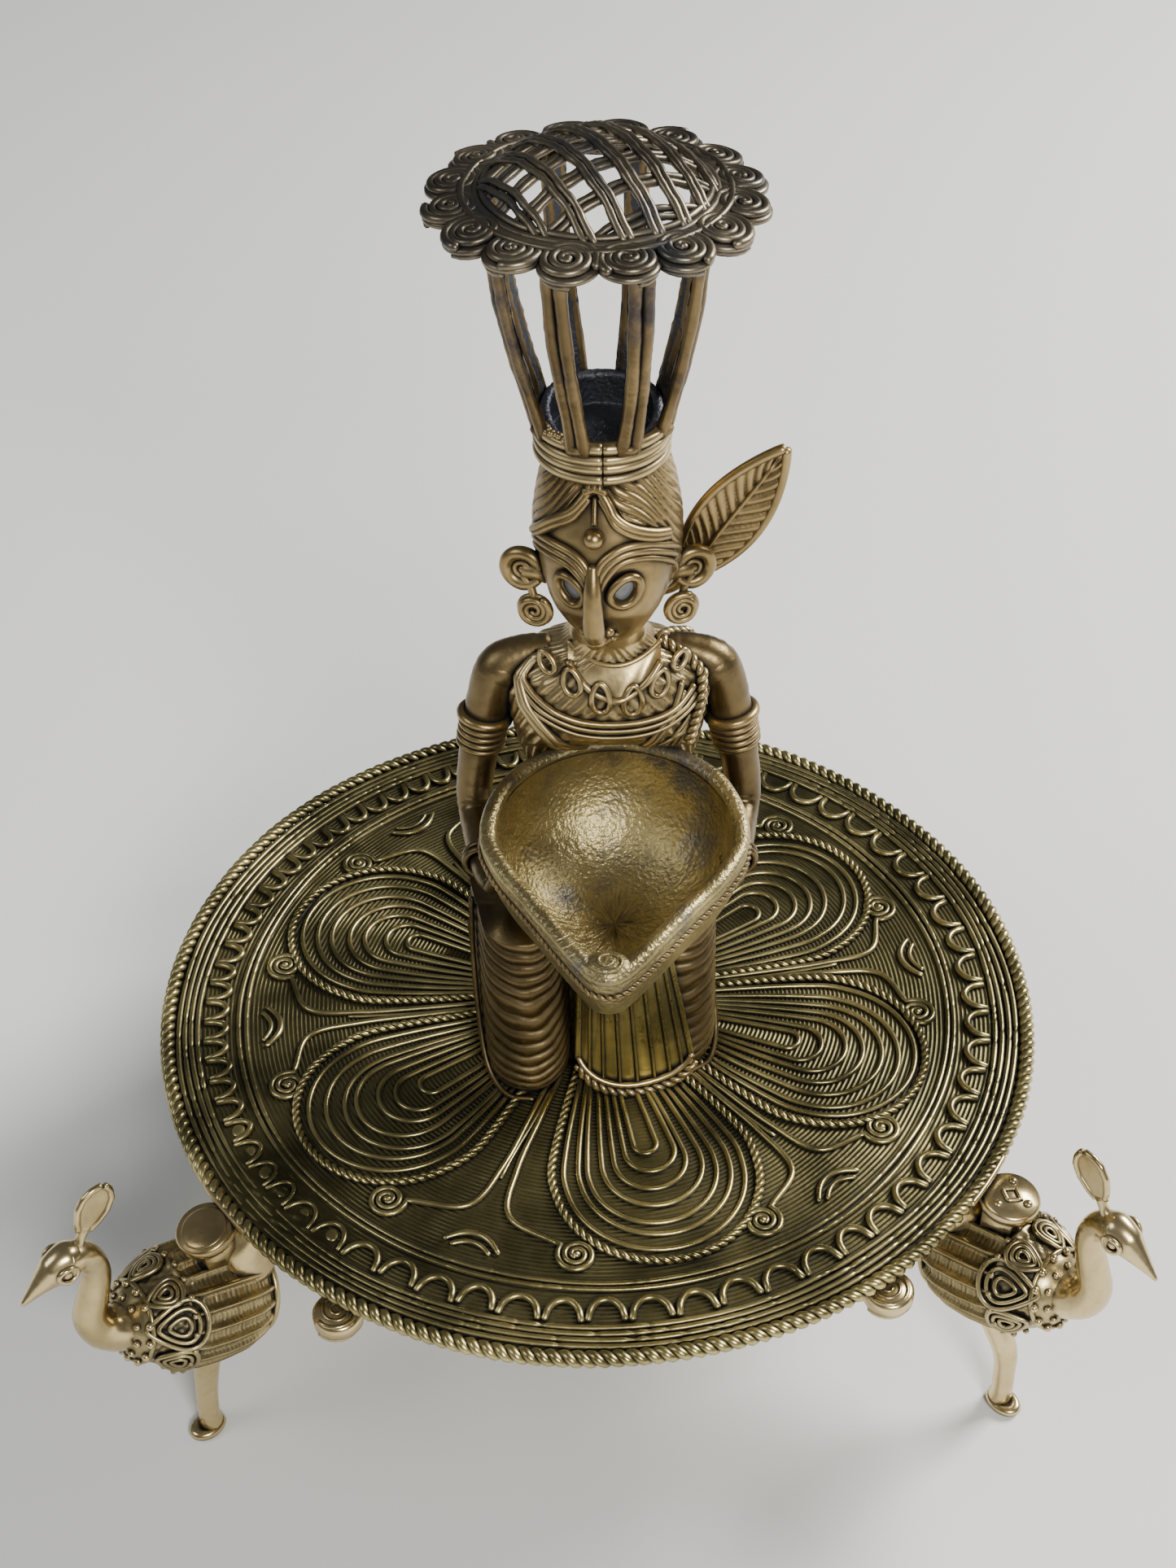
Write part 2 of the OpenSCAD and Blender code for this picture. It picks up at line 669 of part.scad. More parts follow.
// Outline of the head from chin to crown, grown by g
function head_outline(g) = [
    [0, -head_h * 0.42 - g], [head_w * 0.16 + g, -head_h * 0.40], [head_w * 0.30 + g, -head_h * 0.31],
    [head_w * 0.42 + g, -head_h * 0.17], [head_w * 0.49 + g, 0], [head_w * 0.5 + g, head_h * 0.14],
    [head_w * 0.48 + g, head_h * 0.30], [head_w * 0.40 + g, head_h * 0.46],
    [head_w * 0.28 + g, head_h * 0.56], [0, head_h * 0.58 + g]
];

module at_head() at_figure() translate([0, head_y, head_c]) children();

module head_solid(g) rotate([-head_tilt, 0, 0]) rotate_extrude($fn = 64) polygon(head_outline(g));

module head() color(warm) at_head() difference() {
    union() {
        head_solid(0);
        rod([0, -head_w * 0.47, 4], [0, -head_w * 0.5 - 4, -9], 3, 5);
    }
    translate([collar_x - fig_x, -head_y, cup_z - head_c]) cylinder(r = cup_r, h = head_h);
}

// Hair covers the skull behind the face
module hair() color(warm) at_head() difference() {
    head_solid(hair_t);
    head_solid(0);
    translate([-head_w, -head_w - 4, -head_h]) cube([2 * head_w, head_w, head_h * 1.3]);
    translate([-head_w, -head_w, -head_h]) cube([2 * head_w, 2 * head_w, head_h * 0.8]);
    translate([collar_x - fig_x, -head_y, collar_z - head_c]) cylinder(r = collar_d / 2, h = head_h);
}

module brow_ornament() color(warm) at_head() {
    z = head_h * 0.22;
    difference() {
        union() {
            translate([0, -head_w * 0.5, z]) rotate([90, 0, 0]) cylinder(d = 3.4, h = 3, center = true);
            translate([-1.6, -head_w * 0.5 - 1, z]) cube([3.2, 6, collar_z - head_c - z]);
        }
        head_solid(0);
    }
}

// Coiled ears beside the eyes
module ears() color(warm) at_head() for (s = [-1, 1])
    translate([s * (head_w / 2 + 2.8), 1, -4.2]) rotate([0, 0, s * 20]) rotate([90, 0, 0]) {
        rotate_extrude() translate([2.6, 0]) circle(d = 2.2);
        cylinder(d = 3.2, h = 1.6, center = true);
    }

// Spiral earrings hanging below the ears
module earrings() color(warm) at_head() for (s = [-1, 1])
    translate([s * (head_w / 2 + 0.8), -1, -12.5]) rotate([0, 0, s * 15]) rotate([90, 0, 0]) {
        rotate_extrude() translate([2.3, 0]) circle(d = 1.7);
        cylinder(d = 3, h = 1.4, center = true);
    }

module hair_leaf() color(warm) at_head()
    translate([head_w / 2 + 1, 7, -11]) rotate([90, 0, 0]) rotate([0, 0, 57])
        linear_extrude(1.8, center = true) leaf(leaf_l, leaf_w);

module at_collar() on_plate() translate([collar_x, 0, collar_z]) children();

// Wound wire that binds the feet of the bars to the head
module basket_collar() color(bright) at_collar() difference() {
    rotate_extrude() for (i = [0:collar_turns - 1])
        translate([collar_d / 2 - collar_wire / 2, collar_wire / 2 + i * (collar_wire - 0.1)])
            circle(d = collar_wire, $fn = 24);
    translate([0, 0, -1]) cylinder(r = cup_r, h = collar_h + 2);
}

module basket_cup() color(dark) at_collar() difference() {
    translate([0, 0, cup_z - collar_z]) cylinder(r = cup_r, h = cup_top - cup_z);
    translate([0, 0, cup_z - collar_z + 2]) cylinder(r = cup_r - cup_wall, h = basket_h);
}

// Flat bars that flare from the collar to the canopy
module basket_bars() color(warm) on_plate() for (i = [0:slat_n - 1]) {
    az = (i + 0.5) * 360 / slat_n - 90;
    foot_r = cup_r + slat_t / 2 - 0.2;
    head_r = basket_top_r - slat_t / 2;
    a = [collar_x + foot_r * cos(az), foot_r * sin(az), collar_z + collar_h - 1.5];
    b = [canopy_x + head_r * cos(az), head_r * sin(az) - basket_lean, canopy_z + 0.6];
    v = b - a;
    out = v[0] * cos(az) + v[1] * sin(az);
    side = v[1] * cos(az) - v[0] * sin(az);
    translate(a) rotate([0, 0, az]) rotate([-atan2(side, norm([out, v[2]])), atan2(out, v[2]), 0])
        translate([-slat_t / 2, -slat_w / 2, 0]) cube([slat_t, slat_w, norm(v)]);
}

module at_canopy() on_plate() translate([canopy_x, -basket_lean, canopy_z]) children();

module canopy_ring() color(dark) at_canopy() difference() {
    cylinder(r = ring_out, h = canopy_t, $fn = 90);
    translate([0, 0, -1]) cylinder(r = ring_in, h = canopy_t + 2, $fn = 90);
}

// Coiled rosettes set round the edge ring
module canopy_rosettes() color(dark) at_canopy() for (i = [0:rosette_n - 1])
    rotate([0, 0, (i + 0.5) * 360 / rosette_n]) difference() {
        translate([rosette_c, 0, 0]) {
            cylinder(d = rosette_d - 0.4, h = canopy_t * 0.7, $fn = 32);
            rotate_extrude($fn = 32) translate([rosette_d * 0.3, canopy_t * 0.6]) circle(d = 1.6, $fn = 16);
            sphere(d = canopy_t * 1.4, $fn = 24);
        }
        translate([0, 0, -3]) cylinder(r = ring_out, h = 9, $fn = 90);
        rosette_sides();
    }

// Wedges that part neighbouring rosettes
module rosette_sides() for (s = [-1, 1]) rotate([0, 0, s * 180 / rosette_n])
    translate([0, s > 0 ? -0.1 : -canopy_d + 0.1, -4]) cube([canopy_d, canopy_d, 12]);

// Two layers of wires crossing over the dome, each a slice of a spherical shell
module canopy_dome() color(dark) at_canopy() translate([0, 0, canopy_t - 0.6]) intersection() {
    n = floor(dome_r / lattice_pitch);
    translate([0, 0, dome_h - dome_sphere]) difference() {
        sphere(dome_sphere, $fn = 96);
        sphere(dome_sphere - lattice_d, $fn = 96);
    }
    cylinder(r = dome_r, h = dome_h + 1, $fn = 90);
    union() {
        rotate([0, 0, 30]) for (k = [-n:n], q = [0, 90]) rotate([0, 0, q])
            translate([-dome_r, k * lattice_pitch - lattice_d / 2, -1]) cube([2 * dome_r, lattice_d, dome_h + 4]);
        difference() {
            cylinder(r = dome_r, h = dome_h, $fn = 90);
            translate([0, 0, -1]) cylinder(r = dome_r - 1.5, h = dome_h + 2, $fn = 90);
        }
    }
}

module at_stud(z) at_figure() turned_base() translate([0, stud_y, z]) children();

module centre_stud() color(bright) at_stud(-plate_t - nut_t - stud_tail)
    cylinder(d = stud_d, h = stud_up + plate_t + nut_t + stud_tail);

module stud_nut() color(bright) at_stud(-plate_t - nut_t) difference() {
    cylinder(d = nut_af / cos(30), h = nut_t, $fn = 6);
    translate([0, 0, -1]) cylinder(d = stud_d, h = nut_t + 2);
}

plate();
rim_rope();
thread_rings();
scallop_band();
petal(0);  // petal_1
petal(1);  // petal_2
petal(2);  // petal_3
petal(3);  // petal_4
petal(4);  // petal_5
petal(5);  // petal_6
scrolls();
crescents();
bird_body(left_az);  // left_bird_body
bird_neck(left_az);  // left_bird_neck
bird_crest(left_az);  // left_bird_crest
bird_wings(left_az);  // left_bird_wings
bird_leg(left_az);  // left_bird_leg
bird_tail(left_az);  // left_bird_tail
rim_tab(left_az);  // left_rim_tab
bird_body(right_az);  // right_bird_body
bird_neck(right_az);  // right_bird_neck
bird_crest(right_az);  // right_bird_crest
bird_wings(right_az);  // right_bird_wings
bird_leg(right_az);  // right_bird_leg
bird_tail(right_az);  // right_bird_tail
rim_tab(right_az);  // right_rim_tab
bird_body(back_az);  // back_bird_body
bird_neck(back_az);  // back_bird_neck
bird_crest(back_az);  // back_bird_crest
bird_wings(back_az);  // back_bird_wings
bird_leg(back_az);  // back_bird_leg
bird_tail(back_az);  // back_bird_tail
rim_tab(back_az);  // back_rim_tab
left_thigh();
right_thigh();
shins();
apron();
apron_rope();
torso();
necklace();
sash();
left_arm();
right_arm();
armlets();
oil_bowl();
bowl_rope();
head();
hair();
brow_ornament();
ears();
earrings();
hair_leaf();
basket_collar();
basket_cup();
basket_bars();
canopy_ring();
canopy_rosettes();
canopy_dome();
centre_stud();
stud_nut();
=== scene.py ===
"""Brass standing oil lamp in thread work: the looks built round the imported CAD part."""
import bpy
import bmesh
import json
import math
import numpy as np
from mathutils import Matrix, Vector

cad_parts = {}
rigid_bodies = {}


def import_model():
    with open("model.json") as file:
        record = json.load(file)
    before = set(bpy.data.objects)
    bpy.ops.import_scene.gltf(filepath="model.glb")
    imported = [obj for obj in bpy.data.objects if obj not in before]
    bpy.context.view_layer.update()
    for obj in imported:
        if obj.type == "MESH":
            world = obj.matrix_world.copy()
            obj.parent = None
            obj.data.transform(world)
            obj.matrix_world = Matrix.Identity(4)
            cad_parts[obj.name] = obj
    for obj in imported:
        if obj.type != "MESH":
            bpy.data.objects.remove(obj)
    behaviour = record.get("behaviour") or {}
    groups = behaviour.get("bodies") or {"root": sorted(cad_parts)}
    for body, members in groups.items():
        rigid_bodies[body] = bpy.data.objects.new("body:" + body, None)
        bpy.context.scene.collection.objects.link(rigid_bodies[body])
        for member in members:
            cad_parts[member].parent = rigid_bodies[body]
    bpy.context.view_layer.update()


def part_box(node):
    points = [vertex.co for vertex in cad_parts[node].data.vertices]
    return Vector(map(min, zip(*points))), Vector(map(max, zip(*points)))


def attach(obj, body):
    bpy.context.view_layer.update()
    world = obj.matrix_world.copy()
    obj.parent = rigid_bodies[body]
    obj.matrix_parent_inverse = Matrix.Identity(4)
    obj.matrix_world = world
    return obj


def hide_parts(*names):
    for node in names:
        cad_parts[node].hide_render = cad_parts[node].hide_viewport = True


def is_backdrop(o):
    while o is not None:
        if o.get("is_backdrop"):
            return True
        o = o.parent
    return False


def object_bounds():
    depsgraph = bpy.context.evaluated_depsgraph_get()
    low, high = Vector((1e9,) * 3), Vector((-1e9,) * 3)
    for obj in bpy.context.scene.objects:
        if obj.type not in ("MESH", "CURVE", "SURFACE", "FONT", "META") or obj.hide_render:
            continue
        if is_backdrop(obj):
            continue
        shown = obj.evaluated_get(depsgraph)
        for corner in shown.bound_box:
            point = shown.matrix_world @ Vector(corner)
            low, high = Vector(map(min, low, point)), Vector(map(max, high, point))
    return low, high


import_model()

TAU = 2 * math.pi
RNG = np.random.default_rng(7)

# The lamp's own coordinates are millimetres from the middle of the plate's top
lo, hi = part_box("plate")
ORIGIN = np.array([(lo[0] + hi[0]) / 2, (lo[1] + hi[1]) / 2, hi[2]])
PLATE_R = (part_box("rim_rope")[1][0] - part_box("rim_rope")[0][0]) * 500


def node_box(name):
    """The node's low corner, high corner and middle, to a tenth of a millimetre."""
    low, high = ((np.array(list(c)) - ORIGIN) * 1000 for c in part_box(name))
    return np.round(low, 1), np.round(high, 1), np.round((low + high) / 2, 1)


# ---------------------------------------------------------------- shapes

def unit(v):
    return v / np.maximum(np.linalg.norm(v, axis=-1, keepdims=True), 1e-9)


def ramp(n):
    return np.linspace(0, 1, n)


def full_turn(n):
    return np.linspace(0, TAU, n, endpoint=False)


def spread(n, at, values):
    """n values that pass through these values at these shares of the way."""
    return np.interp(ramp(n), at, values)


def sweep_frames(path, closed, up):
    d = np.roll(path, -1, 0) - np.roll(path, 1, 0)
    if not closed:
        d[0] = path[1] - path[0]
        d[-1] = path[-1] - path[-2]
    t = unit(d)
    if up is not None:
        s = unit(np.cross(np.broadcast_to(up, t.shape), t))
        return t, s, np.cross(t, s)
    s = np.zeros_like(t)
    ref = np.array([0.0, 0, 1]) if abs(t[0][2]) < 0.9 else np.array([1.0, 0, 0])
    s[0] = unit(np.cross(ref, t[0]))
    for i in range(1, len(t)):
        v = s[i - 1] - t[i] * np.dot(s[i - 1], t[i])
        s[i] = unit(v)
    return t, s, np.cross(t, s)


def along(path, closed=False):
    """The distance to each point, and the whole length."""
    p = np.vstack([path, path[:1]]) if closed else path
    s = np.concatenate([[0], np.cumsum(np.linalg.norm(np.diff(p, axis=0), axis=1))])
    return (s[:-1], s[-1]) if closed else (s, s[-1])


def resample(path, step, closed=False):
    path = np.asarray(path, float)
    p = np.vstack([path, path[:1]]) if closed else path
    s, total = along(p)
    n = max(int(round(total / step)), 3)
    at = np.linspace(0, total, n + 1)
    out = np.stack([np.interp(at, s, p[:, k]) for k in range(3)], 1)
    return out[:-1] if closed else out


def smooth(points, n=8):
    """A Catmull-Rom curve through the points."""
    p = np.asarray(points, float)
    q = np.vstack([2 * p[:1] - p[1:2], p, 2 * p[-1:] - p[-2:-1]])
    out = []
    for i in range(1, len(q) - 2):
        a, b, c, d = q[i - 1], q[i], q[i + 1], q[i + 2]
        for t in np.linspace(0, 1, n, endpoint=False):
            out.append(0.5 * (2 * b + (c - a) * t + (2 * a - 5 * b + 4 * c - d) * t * t
                              + (3 * b - a - 3 * c + d) * t ** 3))
    out.append(q[-2])
    return np.array(out)


def grid(v, wrap_u=False, wrap_v=False):
    m, n = v.shape[:2]
    faces = []
    for i in range(m if wrap_u else m - 1):
        ii = (i + 1) % m
        for j in range(n if wrap_v else n - 1):
            jj = (j + 1) % n
            faces.append((i * n + j, ii * n + j, ii * n + jj, i * n + jj))
    return v.reshape(-1, 3), faces


def cap(ring):
    """Closes a ring with a fan of faces."""
    n = len(ring)
    return np.vstack([ring, ring.mean(0)]), [(i, (i + 1) % n, n) for i in range(n)]


def tube(path, radius, sides=8, closed=False, up=None, flat=1.0):
    path = np.asarray(path, float)
    n = len(path)
    r = np.broadcast_to(np.asarray(radius, float), (n,))
    t, s, u = sweep_frames(path, closed, up)
    a = np.arange(sides) * TAU / sides
    ring = (np.cos(a)[None, :, None] * s[:, None, :] + flat * np.sin(a)[None, :, None] * u[:, None, :])
    v = (path[:, None, :] + r[:, None, None] * ring).reshape(-1, 3)
    faces = []
    for i in range(n if closed else n - 1):
        j = (i + 1) % n
        for k in range(sides):
            m = (k + 1) % sides
            faces.append((i * sides + k, i * sides + m, j * sides + m, j * sides + k))
    if not closed:
        v = np.vstack([v, path[0] - t[0] * r[0] * 0.5, path[-1] + t[-1] * r[-1] * 0.5])
        a0, a1 = n * sides, n * sides + 1
        for k in range(sides):
            m = (k + 1) % sides
            faces.append((a0, m, k))
            faces.append((a1, (n - 1) * sides + k, (n - 1) * sides + m))
    return v, faces


def laid(path, radius, sides=7, closed=False):
    """A thread that lies on the plate."""
    return tube(path, radius, sides, closed, up=(0, 0, 1))


def rope(path, r, pitch, closed=False, up=None, sides=7, step=0.36):
    """Two strands twisted round the path."""
    path = resample(path, step, closed)
    s, total = along(path, closed)
    turns = max(round(total / pitch), 1) if closed else total / pitch
    _, a, b = sweep_frames(path, closed, up)
    out = []
    for k in (0, 1):
        ang = TAU * turns * s / total + math.pi * k
        p = path + 0.46 * r * (np.cos(ang)[:, None] * a + np.sin(ang)[:, None] * b)
        out.append(tube(p, 0.60 * r, sides, closed))
    return out


def lathe(profile, segments=64, at=(0, 0, 0), close=False):
    """Turns (radius, height) pairs round Z."""
    pr = np.asarray(profile, float)
    a = np.arange(segments) * TAU / segments
    v = np.stack([np.outer(np.cos(a), pr[:, 0]), np.outer(np.sin(a), pr[:, 0]),
                  np.broadcast_to(pr[:, 1], (segments, len(pr)))], 2) + np.asarray(at, float)
    return grid(v, wrap_u=True, wrap_v=close)


def ball(at, r, squash=(1, 1, 1), seg=16):
    a = np.linspace(-math.pi / 2, math.pi / 2, seg // 2 + 1)
    v, f = lathe(np.stack([np.cos(a) * r, np.sin(a) * r], 1), seg)
    return v * np.asarray(squash, float) + np.asarray(at, float), f


def turned(shape, matrix, at=(0, 0, 0)):
    v, f = shape
    return np.asarray(v) @ np.asarray(matrix).T + np.asarray(at, float), f


def rot(axis, degrees):
    c, s = math.cos(math.radians(degrees)), math.sin(math.radians(degrees))
    return {"x": np.array([[1, 0, 0], [0, c, -s], [0, s, c]]),
            "y": np.array([[c, 0, s], [0, 1, 0], [-s, 0, c]]),
            "z": np.array([[c, -s, 0], [s, c, 0], [0, 0, 1]])}[axis]


def spiral(r_out, r_in, turns, start=0.0, n_turn=20, hand=1, z=0.0):
    q = ramp(int(turns * n_turn) + 1)
    r = r_out + (r_in - r_out) * q
    a = math.radians(start) + hand * TAU * turns * q
    return np.stack([r * np.cos(a), r * np.sin(a), np.full(len(q), z)], 1)


def level_ring(a, r, z, x=0.0):
    """Points at these turns on a ring that lies flat."""
    return np.stack(np.broadcast_arrays(x + r * np.cos(a), r * np.sin(a), z), 1)


class Piece:
    """Gathers shapes in lamp millimetres and makes one mesh of them."""

    def __init__(self, name, matrix=None, at=(0, 0, 0)):
        self.name, self.v, self.f, self.n = name, [], [], 0
        self.matrix, self.at = matrix, at

    def add(self, *shapes):
        for shape in shapes:
            if isinstance(shape, list):
                self.add(*shape)
                continue
            v, f = shape if self.matrix is None else turned(shape, self.matrix, self.at)
            v = np.asarray(v, float)
            self.v.append(v)
            self.f += [tuple(int(i) + self.n for i in q) for q in f]
            self.n += len(v)
        return self

    def build(self, material, slot, node=None, weld=True):
        mesh = bpy.data.meshes.new(self.name)
        v = np.vstack(self.v) / 1000 + ORIGIN
        mesh.from_pydata(v.tolist(), [], self.f)
        mesh.validate()
        if weld:
            b = bmesh.new()
            b.from_mesh(mesh)
            bmesh.ops.remove_doubles(b, verts=b.verts, dist=1e-6)
            bmesh.ops.recalc_face_normals(b, faces=b.faces)
            b.to_mesh(mesh)
            b.free()
        mesh.update()
        mesh.polygons.foreach_set("use_smooth", np.ones(len(mesh.polygons), bool))
        ob = bpy.data.objects.new(self.name, mesh)
        bpy.context.scene.collection.objects.link(ob)
        mesh.materials.append(material)
        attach(ob, "root")
        if node:
            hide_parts(node)


# ---------------------------------------------------------------- materials

def nodes_of(name):
    m = bpy.data.materials.new(name)
    m.use_nodes = True
    t = m.node_tree
    t.nodes.clear()
    return m, t


def brass(name, bright, mid, dark, rough, grain, grain_h, reach, shade_and_grime_strength=1.0, stain=None, stain_at=0.62,
          grime_rough=0.62):
    """Cast brass: bright where it is open and where it is rubbed, with painted shade and grime in the
    hollows, stains and a fine cast grain.
    """
    m, t = nodes_of(name)

    def node(kind, values=None, links=None, operation=None):
        n = t.nodes.new("ShaderNode" + kind)
        if operation:
            n.operation = operation
        for key, value in (values or {}).items():
            n.inputs[key].default_value = value
        for key, source in (links or {}).items():
            t.links.new(source.outputs[0], n.inputs[key])
        return n

    place = node("TexCoord")

    def noise(scale, detail, roughness=0.5):
        n = node("TexNoise", {"Scale": scale, "Detail": detail, "Roughness": roughness})
        t.links.new(place.outputs["Object"], n.inputs["Vector"])
        return n

    def remap(source, **ends):
        keys = {"low": 1, "high": 2, "to_low": 3, "to_high": 4}
        return node("MapRange", {keys[k]: v for k, v in ends.items()}, {0: source})

    def scaled(source, factor, offset=0.0):
        return node("Math", {1: factor, 2: offset}, {0: source}, "MULTIPLY_ADD")

    slow, fast = noise(55, 4), noise(420, 3)
    tone = node("MixRGB", {1: (*mid, 1), 2: (*bright, 1)}, {0: remap(slow, low=0.36, high=0.66)})
    if stain:
        patch = remap(noise(38, 6, 0.7), low=stain_at, high=stain_at + 0.13)
        tone = node("MixRGB", {2: (*stain, 1)}, {0: patch, 1: tone})
    # painted shade with grime in the hollows, found by how much of the sky is hidden close by
    near = node("AmbientOcclusion", {"Distance": reach / 1000})
    near.samples = 6
    edge = node("MapRange", {1: 0.50, 2: 0.97})
    t.links.new(near.outputs["AO"], edge.inputs[0])
    # open parts, with a little rubbed wear noise, stay free of the painted shade
    lit_and_rubbed = node("Math", None, {0: edge, 1: scaled(fast, 0.5, -0.25)}, "ADD")
    lit_and_rubbed.use_clamp = True
    # painted shade and grime: how far the hollows are mixed towards the dark colour
    deep = scaled(lit_and_rubbed, -shade_and_grime_strength, shade_and_grime_strength)
    colour = node("MixRGB", {2: (*dark, 1)}, {0: deep, 1: tone})
    # the painted shade and grime in the hollows are also less metallic and rougher
    sheen = remap(deep, to_low=rough, to_high=grime_rough)
    roughness = node("Math", {1: 0.16}, {0: slow, 2: sheen}, "MULTIPLY_ADD")
    bump = node("Bump", {"Strength": 0.6, "Distance": grain_h / 1000})
    t.links.new(noise(grain, 2).outputs[0], bump.inputs["Height"])
    shader = node("BsdfPrincipled", None, {"Base Color": colour, "Metallic": scaled(deep, -0.55, 1.0),
                                           "Roughness": roughness, "Normal": bump})
    node("OutputMaterial", None, {0: shader})
    return m


PLATE = brass("antique_plate", (0.20, 0.172, 0.073), (0.08, 0.07, 0.028), (0.006, 0.006, 0.0035), 0.24,
              700, 0.09, 1.8, stain=(0.07, 0.064, 0.034))
THREAD = brass("antique_thread", (0.62, 0.52, 0.23), (0.22, 0.187, 0.078), (0.008, 0.0075, 0.004), 0.20,
               700, 0.09, 1.4)
WARM = brass("warm_brass", (0.44, 0.32, 0.145), (0.22, 0.155, 0.066), (0.012, 0.009, 0.005), 0.25,
             600, 0.10, 1.8, stain=(0.10, 0.085, 0.075))
# arms and thighs: warm brass at half brightness, partly darker brass and partly painted shade, as one arm
# sits in shadow
LIMB = brass("limb_brass", (0.22, 0.16, 0.075), (0.10, 0.07, 0.032), (0.010, 0.008, 0.005), 0.28,
             700, 0.12, 1.8, stain=(0.08, 0.068, 0.058))
BIRD = brass("bird_brass", (0.62, 0.50, 0.25), (0.30, 0.24, 0.115), (0.008, 0.008, 0.006), 0.18,
             500, 0.05, 2.8, grime_rough=0.5)
BRIGHT = brass("polished_brass", (0.74, 0.59, 0.32), (0.54, 0.42, 0.20), (0.008, 0.008, 0.006), 0.15,
               500, 0.04, 1.8, grime_rough=0.45)
GOLD = brass("choker_brass", (0.66, 0.51, 0.26), (0.40, 0.30, 0.14), (0.012, 0.010, 0.006), 0.22,
             500, 0.08, 1.6)
DARK = brass("dark_bronze", (0.30, 0.25, 0.17), (0.135, 0.113, 0.08), (0.008, 0.008, 0.008), 0.27,
             600, 0.10, 2.0, stain=(0.11, 0.11, 0.115), stain_at=0.54)
BRONZE = brass("bar_bronze", (0.30, 0.215, 0.10), (0.15, 0.105, 0.05), (0.010, 0.008, 0.006), 0.33,
               800, 0.16, 2.0, stain=(0.075, 0.06, 0.055), stain_at=0.52)
BOWL_BRASS = brass("bowl_brass", (0.56, 0.46, 0.22), (0.27, 0.22, 0.105), (0.016, 0.013, 0.009), 0.33,
                   1100, 0.55, 9.0, 0.75, stain=(0.15, 0.15, 0.16), stain_at=0.53)
GREY = brass("patina_grey", (0.34, 0.34, 0.345), (0.26, 0.26, 0.265), (0.10, 0.10, 0.11), 0.5,
             900, 0.1, 1.0, 0.4)
BLUE = brass("blackened_bronze", (0.125, 0.13, 0.15), (0.075, 0.078, 0.095), (0.018, 0.018, 0.022), 0.42,
             1400, 0.4, 2.5, 0.7, stain=(0.17, 0.175, 0.19), stain_at=0.56)


# ---------------------------------------------------------------- plate

def polar(r, az, z=0.0):
    """A point at this distance and turn from the front, in degrees to the right."""
    a = np.radians(az)
    return np.stack(np.broadcast_arrays(r * np.sin(a), -r * np.cos(a), np.asarray(z, float)), -1)


def melted(az, r):
    """How far the braze has run over the pattern: 1 in the patch at the front left, 0 elsewhere."""
    return np.exp(-((az + 50) / 13.0) ** 4) * np.clip((r - 76) / 12, 0, 1)


def sway(az, waves, phase=0.0):
    """A slow wave round the plate."""
    return np.sin(np.radians(az) * waves + phase)


def ribbed(r0, r1, segments):
    """The plate's face with its fine turned ribs, 1 mm apart."""
    R, A = np.meshgrid(np.arange(r0, r1 + 0.01, 0.25), np.linspace(-180, 180, segments, endpoint=False))
    wob = 0.12 * np.sin(np.radians(A) * 7 + R * 0.05) + 0.10 * sway(A, 17, 1.3)
    z = -0.42 + 0.40 * np.abs(np.cos(math.pi * (R + wob))) ** 0.8
    m = melted(A, R)
    z = z * (1 - m) + m * (0.25 + 0.35 * np.sin(R * 1.9 + A * 0.7) * np.sin(A * 1.1 + 0.4 * R))
    return grid(polar(R, A, z), wrap_u=True)


Piece("plate_top_inner").add(ribbed(3.0, 58.0, 300)).build(PLATE, "antique_brass", weld=False)
Piece("plate_top_outer").add(ribbed(58.0, 96.75, 460)).build(PLATE, "antique_brass", weld=False)
under = [(3, -0.42), (3, -4.0)] + [(r, -4.0 + 0.10 * math.cos(math.pi * r)) for r in np.arange(4, 96, 0.5)]
under += [(96.6, -3.9), (97.6, -3.2), (97.9, -2.0), (97.3, -0.8), (96.75, -0.42)]
Piece("plate_disc").add(lathe(under, 220)).build(PLATE, "antique_brass", "plate")

# rope round the rim, pressed in a little where it is worn
aa = np.linspace(-180, 180, 700, endpoint=False)
worn = 0.35 * np.exp(-((aa + 78) / 22.0) ** 2) + 0.10 * sway(aa, 9)
rim_path = polar(PLATE_R - 1.7 - worn, aa, 0.12 * sway(aa, 5))
Piece("rim_rope").add(rope(rim_path, 1.72, 5.4, True, (0, 0, 1), step=0.45)).build(
    THREAD, "antique_brass", "rim_rope")


def nicked(r, az, seed, depth=0.22):
    """A laid thread's radius with the small cuts where the wax was pressed."""
    g = np.random.default_rng(seed)
    rad = np.full(len(az), 0.70)
    for c in g.uniform(-180, 180, 58):
        rad -= depth * np.exp(-((az - c) / 0.36) ** 2)
    return rad * (1 - 0.55 * melted(az, r))


rings = Piece("thread_rings")
aa = np.linspace(-180, 180, 1100, endpoint=False)
for i, r in enumerate((95.6, 94.1, 92.6, 91.15)):
    rr = r + 0.10 * sway(aa, 5 + i) + 0.08 * sway(aa, 13, i)
    rings.add(laid(polar(rr, aa, 0.12), nicked(r, aa, i), 6, True))
for i, r in enumerate((81.9, 80.4)):
    rr = r + 0.16 * sway(aa, 4 + i) + 0.1 * sway(aa, 11, i)
    rings.add(laid(polar(rr, aa, 0.10), nicked(r, aa, 9 + i, 0.12) * 0.92, 6, True))
rings.build(THREAD, "antique_brass", "thread_rings", weld=False)

